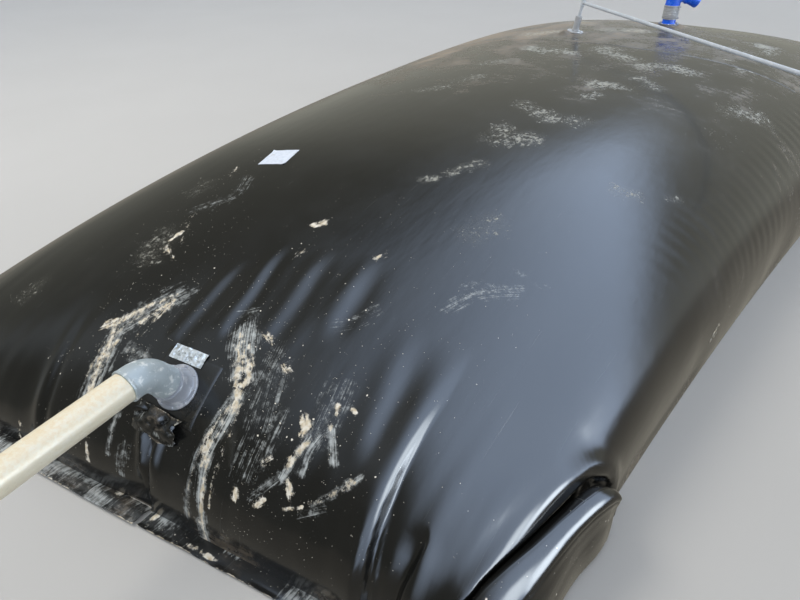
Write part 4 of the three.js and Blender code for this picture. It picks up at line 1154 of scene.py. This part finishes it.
# The folded near right corner: the spare sheet lies over the bag's flank, from a crease down to
# the floor. Its crease, as places seen from above, its rounded lip, as metres down the sheet and
# out from it, and how far its shoulder lies below the crease.
CREASE = [(-3.51, -0.945), (-3.43, -0.987), (-3.345, -1.033), (-3.285, -1.051), (-3.215, -1.075),
          (-3.1, -1.113), (-2.95, -1.15), (-2.86, -1.167), (-2.775, -1.187), (-2.7, -1.218),
          (-2.6, -1.262)]
LIP = [(0.0, -0.03), (0.0004, -0.012), (0.001, 0.0), (0.0026, 0.005), (0.0055, 0.0075),
       (0.01, 0.0085)]
SHOULDER_AT = [0.06, 0.085, 0.108, 0.108, 0.102, 0.085, 0.074, 0.07, 0.07, 0.055, 0.025]
FOLD_ROWS = 72


def add_corner_fold():
    along, across = grid_place(*rounded_path(CREASE, 24).T)
    share = np.linspace(0, 1, len(along))
    shoulder = np.interp(share, np.linspace(0, 1, len(SHOULDER_AT)), SHOULDER_AT)[:, None]
    rows = np.concatenate([np.zeros(len(LIP)), np.linspace(0, 1, FOLD_ROWS) ** 1.15])
    a = np.repeat(along[:, None], len(rows), axis=1)
    b = across[:, None] + (-89.7 - across[:, None]) * rows
    down, lip = np.array(LIP + [(0.0, LIP[-1][1])] * FOLD_ROWS).T
    b = b - np.degrees(down / 1.3)
    base = skin(a, b)
    steps = length(np.diff(base, axis=1))
    reach = np.concatenate([np.zeros((len(along), 1)), np.cumsum(steps, axis=1)], axis=1)
    proud = 0.014 + 0.012 * ease(0.05, 0.4, share) + 0.024 * ease(0.55, 0.8, share)
    proud = proud - 0.04 * ease(0.86, 1.0, share)
    full = ease(1.0, 0.85, share)[:, None]
    round_top = 0.017 * np.sin(math.pi * np.minimum(reach / shoulder, 1.0)) * full
    swell = 0.014 * ease(0.0, 1.0, reach / shoulder) + round_top
    edge = 0.008 * np.exp(-((reach - shoulder) / 0.024) ** 2) * full
    fall = -0.014 * ease(1.0, 2.6, reach / shoulder)
    slack = 0.0014 * wander(share[:, None] * 7, reach / 0.12, 101)
    rise = lip + proud[:, None] + (swell + edge + fall + slack) * ease(0.0, 0.02, reach)
    points = base + skin_normal(a, b) * rise[..., None]
    points[..., 2] = np.maximum(points[..., 2], 0.0024)
    points, a, b = points[:, ::-1], a[:, ::-1], b[:, ::-1]
    laid_piece("corner_roll", points, a, b, BLACK_SHEET, "black_sheet", "corner_fold", MEMBRANE,
               dust=0.35 * ease(0.08, 0.0, points[..., 2]), splash=np.full_like(a, 0.25))


# Pipes and fittings
DRAIN_RADIUS = 0.057
DRAIN_BORE = 0.052
GAS_RADIUS = 0.0125
GAS_BORE = 0.01
GAS_SIDES = 48
TEE_BORE = 0.0127
CAP_RADIUS = 0.0165
CAP_BORE = 0.0129
PIPE_EDGE = 0.0012


def add_turned(name, node, slot, outer, bore, origin, direction, material, sides=ROUND_SIDES):
    """A hollow turned piece that stands for a CAD node."""
    dress(turned(name, hollow(outer, bore), origin, direction, material, sides), slot, node)


def add_pipe(name, node, slot, start, end, radius, bore, material, sides=ROUND_SIDES):
    """A straight pipe with softened ends."""
    run = float(np.linalg.norm(end - start))
    outer = [(radius - PIPE_EDGE, 0.0), (radius, PIPE_EDGE), (radius, run * 0.5), (radius, run - PIPE_EDGE),
             (radius - PIPE_EDGE, run)]
    add_turned(name, node, slot, outer, bore, start, end - start, material, sides)


def add_bolts(name, slot, material, seat, count, ring_radius, height, head_radius, head_height):
    """Round-headed bolts in a ring on a flange."""
    u, v = frame_axes(seat["normal"])
    profile = [(head_radius, -0.001), (head_radius, head_height * 0.45),
               (head_radius * 0.72, head_height * 0.9), (head_radius * 0.3, head_height)]
    parts = []
    for k in range(count):
        angle = 2 * math.pi * (k + 0.3) / count
        foot = seat["base"] + seat["normal"] * height
        foot = foot + ring_radius * (math.cos(angle) * u + math.sin(angle) * v)
        rings = [circle(foot + seat["normal"] * h, u, v, r, 16) for r, h in profile]
        parts.append(ring_mesh(rings, False))
    dress(joined(name, parts, material), slot)


# The inlet's elbow: its corner's height over the sheet, its bend, and the far end of its pipe
INLET_RISE = 0.2
INLET_BEND = 0.11
INLET_PIPE_END = (-4.05, 0.216, 0.639)


def add_inlet():
    seat = SEATS["inlet"]
    base, normal = seat["base"], seat["normal"]
    flange = [(0.0905, 0.0), (0.092, 0.002), (0.092, 0.009), (0.09, 0.011), (0.08, 0.0116),
              (0.077, 0.012)]
    neck = [(0.078, 0.0124), (0.0765, 0.015), (0.0735, 0.023), (0.0715, 0.033), (0.0705, 0.052),
            (0.0712, 0.056), (0.0712, 0.066), (0.07, 0.068), (0.064, 0.0685), (0.0638, 0.0744)]
    slot = "grey_fitting"
    add_turned("flange_inlet", "inlet_flange", slot, flange, DRAIN_BORE, base, normal, GREY_FLANGE)
    add_bolts("flange_inlet_bolts", slot, GREY_FLANGE, seat, 9, 0.0845, 0.0112, 0.0052, 0.0042)
    add_turned("neck_inlet", "inlet_neck", slot, neck, DRAIN_BORE, base, normal, GREY_FLANGE)

    corner = skin(*map(np.array, INLET_SEAT)) + normal * INLET_RISE
    pipe_end = np.array(INLET_PIPE_END)
    inward = unit(corner - pipe_end)
    neck_end = base + normal * neck[-1][1]
    reach = INLET_BEND * math.tan(math.acos(float(-inward @ normal)) / 2)
    lead_out = float(np.linalg.norm(corner - neck_end)) - reach - GAP
    stations, axis = bend_path(corner, inward, -normal, INLET_BEND, 0.03, lead_out, 30)
    dress(elbow("elbow_inlet", stations, axis, 0.0632, (0.064, 0.0652, 0.0652),
                (0.0648, 0.0652, 0.0652, 0.064), GREY_FITTING), slot, "inlet_elbow")
    tip = stations[0][0] - inward * GAP
    add_pipe("pipe_inlet", "inlet_pipe", "cream_pipe", pipe_end, tip, DRAIN_RADIUS, DRAIN_BORE, CREAM_PIPE)


def add_gas_pipe(name, node, start, end):
    add_pipe(name, node, "gas_pipe", start, end, GAS_RADIUS, GAS_BORE, GAS_PIPE, GAS_SIDES)


def add_cap(name, node, depth, top, origin, direction):
    """A closed cap over an end of the gas pipe, from an open section that runs from rim to rim."""
    profile = [(CAP_BORE, 0.0), (CAP_RADIUS - 0.0008, 0.0), (CAP_RADIUS, 0.001),
               (CAP_RADIUS, depth - 0.002), (CAP_RADIUS - 0.0012, depth + top - 0.0008),
               (CAP_RADIUS - 0.0025, depth + top)]
    dress(turned(name, profile, origin, direction, GAS_PIPE, GAS_SIDES, False), "gas_pipe", node)


def add_gas_line():
    seat = SEATS["gas"]
    base, lean = seat["base"], seat["normal"]
    at = lambda height: base + lean * height
    flange = [(0.069, 0.0), (0.07, 0.0012), (0.07, 0.005), (0.067, 0.0072), (0.045, 0.008),
              (0.031, 0.008)]
    sleeve = [(0.029, 0.0084), (0.03, 0.011), (0.03, 0.017), (0.0275, 0.02), (0.027, 0.08),
              (0.027, 0.11), (0.0282, 0.111), (0.0282, 0.12), (0.027, 0.1234)]
    add_turned("flange_gas", "gas_flange", "rubber", flange, GAS_BORE, base, lean, PALE_SLEEVE)
    add_bolts("flange_gas_bolts", "clamp_steel", STEEL, seat, 6, 0.056, 0.007, 0.005, 0.0036)
    add_turned("sleeve_gas", "gas_sleeve", "gas_pipe", sleeve, GAS_BORE, base, lean, PALE_SLEEVE)
    add_gas_pipe("riser_gas", "gas_riser", at(0.1238), at(0.1976))
    add_gas_pipe("riser_gas_top", "gas_riser_top", at(0.2584), at(0.42))

    branch = unit(np.array([-1.327, -1.763, -0.015]))
    centre = at(0.228)
    tee = [(0.0162, 0.198), (0.017, 0.1995), (0.017, 0.207), (0.0158, 0.209), (0.0158, 0.247),
           (0.017, 0.249), (0.017, 0.2565), (0.0162, 0.258)]
    arm = [(0.0154, 0.012), (0.0154, 0.024), (0.017, 0.026), (0.017, 0.0345), (0.0162, 0.036)]
    parts = [hollow_part(tee, TEE_BORE, base, lean, GAS_SIDES),
             hollow_part(arm, TEE_BORE, centre, branch, GAS_SIDES)]
    dress(joined("tee_gas", parts, GAS_PIPE), "gas_pipe", "gas_tee")
    add_cap("cap_gas", "gas_cap", 0.03, 0.004, at(0.39), lean)
    add_gas_pipe("pipe_gas", "gas_pipe", centre + branch * 0.0364, centre + branch * 2.55)
    add_cap("cap_gas_end", "gas_pipe_end_cap", 0.034, 0.008, centre + branch * 2.516, branch)


def clamp_screw(centre, outward, along):
    """A worm-drive housing with its slotted screw on the outside of a clamp band."""
    up = np.cross(outward, along)
    box = np.array([(x, y, z) for x in (-1, 1) for y in (-1, 1) for z in (-1, 1)], float)
    corners = (centre + outward * 0.005 + box[:, :1] * along * 0.01
               + box[:, 1:2] * up * 0.0065 + box[:, 2:] * outward * 0.0045)
    quads = [(0, 1, 3, 2), (4, 6, 7, 5), (0, 4, 5, 1), (2, 3, 7, 6), (0, 2, 6, 4), (1, 5, 7, 3)]
    profile = [(0.0034, -0.014), (0.0034, 0.012), (0.0052, 0.013), (0.0052, 0.02), (0.004, 0.0215)]
    rings = [circle(centre + outward * 0.006 + along * h, up, outward, r, 20) for r, h in profile]
    return [(corners, quads), ring_mesh(rings, False)]


# The outlet's coupling: where it starts and ends over the flange's underside, its ribs as shares
# of their pitch with radii, and a clamp's band as radii with rises
COUPLING_LOW = 0.048
COUPLING_HIGH = 0.163
RIB_COUNT = 5
RIB = [(0.0, 0.0655), (0.22, 0.0668), (0.38, 0.0696), (0.62, 0.0696), (0.78, 0.0668)]
CLAMP_BAND = [(0.0668, 0.0), (0.0687, 0.0004), (0.0689, 0.002), (0.068, 0.0032), (0.068, 0.0088),
              (0.0689, 0.01), (0.0687, 0.0116), (0.0668, 0.012)]
COUPLING_BORE = 0.0574
CLAMP_BORE = 0.0664
OUTLET_BEND = 0.074


def add_outlet():
    seat = SEATS["outlet"]
    base = seat["base"]
    up = np.array([0.0, 0.0, 1.0])
    low, high = COUPLING_LOW, COUPLING_HIGH
    at = lambda height: base + up * height
    flange = [(0.0865, 0.0), (0.088, 0.0018), (0.088, 0.009), (0.0862, 0.011), (0.066, 0.012)]
    stub = [(0.06, 0.0124), (0.0575, 0.015), (DRAIN_RADIUS, 0.02), (DRAIN_RADIUS, 0.163)]
    pitch = (high - low - 0.048) / RIB_COUNT
    ribs = [(radius, low + 0.024 + pitch * k + pitch * share)
            for k in range(RIB_COUNT) for share, radius in RIB]
    coupling = [(0.0645, low), (0.066, low + 0.0015), (0.066, low + 0.02), *ribs,
                (0.066, high - 0.022), (0.066, high - 0.0015), (0.0645, high)]
    add_turned("flange_outlet", "outlet_flange", "blue_pipe", flange, DRAIN_BORE, base, up, DUSTY_BLUE)
    add_bolts("flange_outlet_bolts", "clamp_steel", STEEL, seat, 8, 0.077, 0.0112, 0.0055, 0.0042)
    add_turned("stub_outlet", "outlet_stub", "blue_pipe", stub, DRAIN_BORE, base, up, BLUE_PIPE)
    add_turned("coupling_outlet", "outlet_coupling", "rubber", coupling, COUPLING_BORE, base, up,
               PALE_SLEEVE)
    outward = unit(np.array([-0.35, -1.0, 0.0]))
    for place, foot in (("lower", low + 0.006), ("upper", high - 0.018)):
        band = [(radius, foot + rise) for radius, rise in CLAMP_BAND]
        screw = clamp_screw(at(foot + 0.006) + outward * 0.067, outward, np.cross(up, outward))
        parts = [hollow_part(band, CLAMP_BORE, base, up, ROUND_SIDES), *screw]
        dress(joined(f"clamp_{place}", parts, CLAMP_DULL), "clamp_steel", f"outlet_clamp_{place}")

    outward = unit(np.array([0.5, -0.75, -0.43]))
    reach = OUTLET_BEND * math.tan(math.acos(float(up @ outward)) / 2)
    corner = at(high + GAP + 0.01 + reach)
    stations, axis = bend_path(corner, up, outward, OUTLET_BEND, 0.01, 0.03, 26)
    dress(elbow("elbow_outlet", stations, axis, 0.0628, (0.064, 0.0655, 0.0655, 0.0645),
                (0.0645, 0.0655, 0.0655, 0.064), BLUE_PIPE), "blue_pipe", "outlet_elbow")
    start = stations[-1][0] + outward * GAP
    add_pipe("pipe_outlet_end", "outlet_pipe_end", "blue_pipe", start, start + outward * 0.09,
             DRAIN_RADIUS, DRAIN_BORE, BLUE_PIPE)


add_laid_pieces()
add_flap()
add_hems()
add_corner_fold()
add_inlet()
add_gas_line()
add_outlet()


# The bag's own floor keeps its CAD solid, in the sheet's material
FLOOR_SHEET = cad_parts["floor_sheet"]
FLOOR_SHEET.data.materials.clear()
FLOOR_SHEET.data.materials.append(BLACK_SHEET)


# Stage, lights and camera

STAGE_HALF = 60.0
STAGE_DROP = 0.001


def add_stage():
    mesh = bpy.data.meshes.new("stage_floor")
    corners = [(x * STAGE_HALF, y * STAGE_HALF, -STAGE_DROP) for x, y in ((-1, -1), (1, -1), (1, 1), (-1, 1))]
    mesh.from_pydata(corners, [], [(0, 1, 2, 3)])
    floor = linked("stage_floor", mesh)
    f = Finish("stage_pale", Roughness=0.8, Specular_IOR_Level=0.1)
    tone = f.blend(f.noise(0.8, 3.0, 0.5), colour(0.5, 0.495, 0.48), colour(0.54, 0.535, 0.52))
    f.set("Base Color", tone)
    mesh.materials.append(f.material)
    floor.visible_glossy = False
    floor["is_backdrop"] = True


def sky_direction(azimuth, elevation):
    a, e = math.radians(azimuth), math.radians(elevation)
    return (math.cos(a) * math.cos(e), math.sin(a) * math.cos(e), math.sin(e))


# The studio's dome, as gloss shows it: bright round one side, with soft dark screens.
# Each has an azimuth and an elevation, and cosines of the angles where it starts and is full. A
# glare or a screen ends with its strength.
DOME_LOW = (0.66, 0.72, 0.76)
DOME_HIGH = (3.55, 4.4, 5.85)
DOME_LOBE = (-68, 25, -0.25, 0.8)
GLARE = (10.5, 11.8, 13.2)
GLARES = [(-108, 28, 0.9135, 0.99, 1.35), (-80, 10, 0.951, 0.9945, 1.7)]
SCREENS = [(-17, 0, 0.745, 0.868, 0.62), (65, 5, 0.559, 0.815, 0.26), (155, 5, 0.6, 0.87, 0.22),
           (25, 2, 0.81, 0.927, 0.5)]
SCREEN_TONE = (1.0, 1.0, 0.86)
UNDER_TONE = (0.36, 0.34, 0.29)
DIFFUSE_DOME = (0.8, 0.83, 0.88)


def add_world():
    world = bpy.data.worlds.new("studio")
    bpy.context.scene.world = world
    world.use_nodes = True
    w = Wiring(world.node_tree)
    direction = w.node("ShaderNodeTexCoord", "Generated")

    def facing(azimuth, elevation, start, full):
        toward = sky_direction(azimuth, elevation)
        cosine = w.node("ShaderNodeVectorMath", "Value", {0: direction, 1: toward}, operation="DOT_PRODUCT")
        return w.ramp(cosine, start, full)

    dome = w.blend(facing(*DOME_LOBE), colour(*DOME_LOW), colour(*DOME_HIGH))
    for *lobe, strength in GLARES:
        dome = w.blend(facing(*lobe), dome, colour(*[strength * part for part in GLARE]))
    for *screen, strength in SCREENS:
        dome = w.blend(facing(*screen), dome, colour(*[strength * part for part in SCREEN_TONE]))
    dome = w.blend(facing(0, -90, 0.035, 0.17), dome, colour(*UNDER_TONE))
    glossy = w.node("ShaderNodeLightPath", "Is Glossy Ray")
    background = world.node_tree.nodes["Background"]
    w.wire(background.inputs["Color"], w.blend(glossy, colour(*DIFFUSE_DOME), dome))
    background.inputs["Strength"].default_value = 1.0


# The soft lamp: its azimuth and elevation, distance, size and power
KEY_DIRECTION = (125, 55)
KEY_DISTANCE = 11.0
KEY_SIZE = 5.0
KEY_POWER = 420.0
KEY_TONE = (1.0, 0.94, 0.84)


def add_key_light():
    light = bpy.data.lights.new("key", "AREA")
    light.shape = "DISK"
    light.size = KEY_SIZE
    light.energy = KEY_POWER
    light.color = KEY_TONE
    lamp = linked("key", light)
    lamp.location = Vector(sky_direction(*KEY_DIRECTION)) * KEY_DISTANCE
    lamp.rotation_euler = (-Vector(lamp.location)).to_track_quat("-Z", "Y").to_euler()
    lamp.visible_glossy = False
    lamp.visible_camera = False


# The camera: its yaw, pitch and roll in degrees, its place and its lens
CAMERA_TURNS = (35.973, 35.78, -1.22)
CAMERA_PLACE = (-4.238, -1.444, 2.1)
CAMERA_LENS = 27.045
CAMERA_SENSOR = 36.0


def add_camera():
    yaw, pitch, roll = (math.radians(turn) for turn in CAMERA_TURNS)
    forward = Vector((math.cos(pitch) * math.cos(yaw), math.cos(pitch) * math.sin(yaw), -math.sin(pitch)))
    right = Vector((math.sin(yaw), -math.cos(yaw), 0.0))
    up = right.cross(forward)
    turned_right = right * math.cos(roll) + up * math.sin(roll)
    turned_up = up * math.cos(roll) - right * math.sin(roll)
    camera = bpy.data.cameras.new("camera")
    camera.sensor_width = CAMERA_SENSOR
    camera.lens = CAMERA_LENS
    camera.clip_end = 200.0
    seen = linked("camera", camera)
    rows = [(r, u, -f, p) for r, u, f, p in zip(turned_right, turned_up, forward, CAMERA_PLACE)]
    seen.matrix_world = Matrix(rows + [(0.0, 0.0, 0.0, 1.0)])
    bpy.context.scene.camera = seen


add_stage()
add_world()
add_key_light()
add_camera()
bpy.context.scene.view_settings.view_transform = "Standard"

sizes = {"cad": CAD_BOX, "visual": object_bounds()}
{key: [list(map(float, corner)) for corner in box] for key, box in sizes.items()}
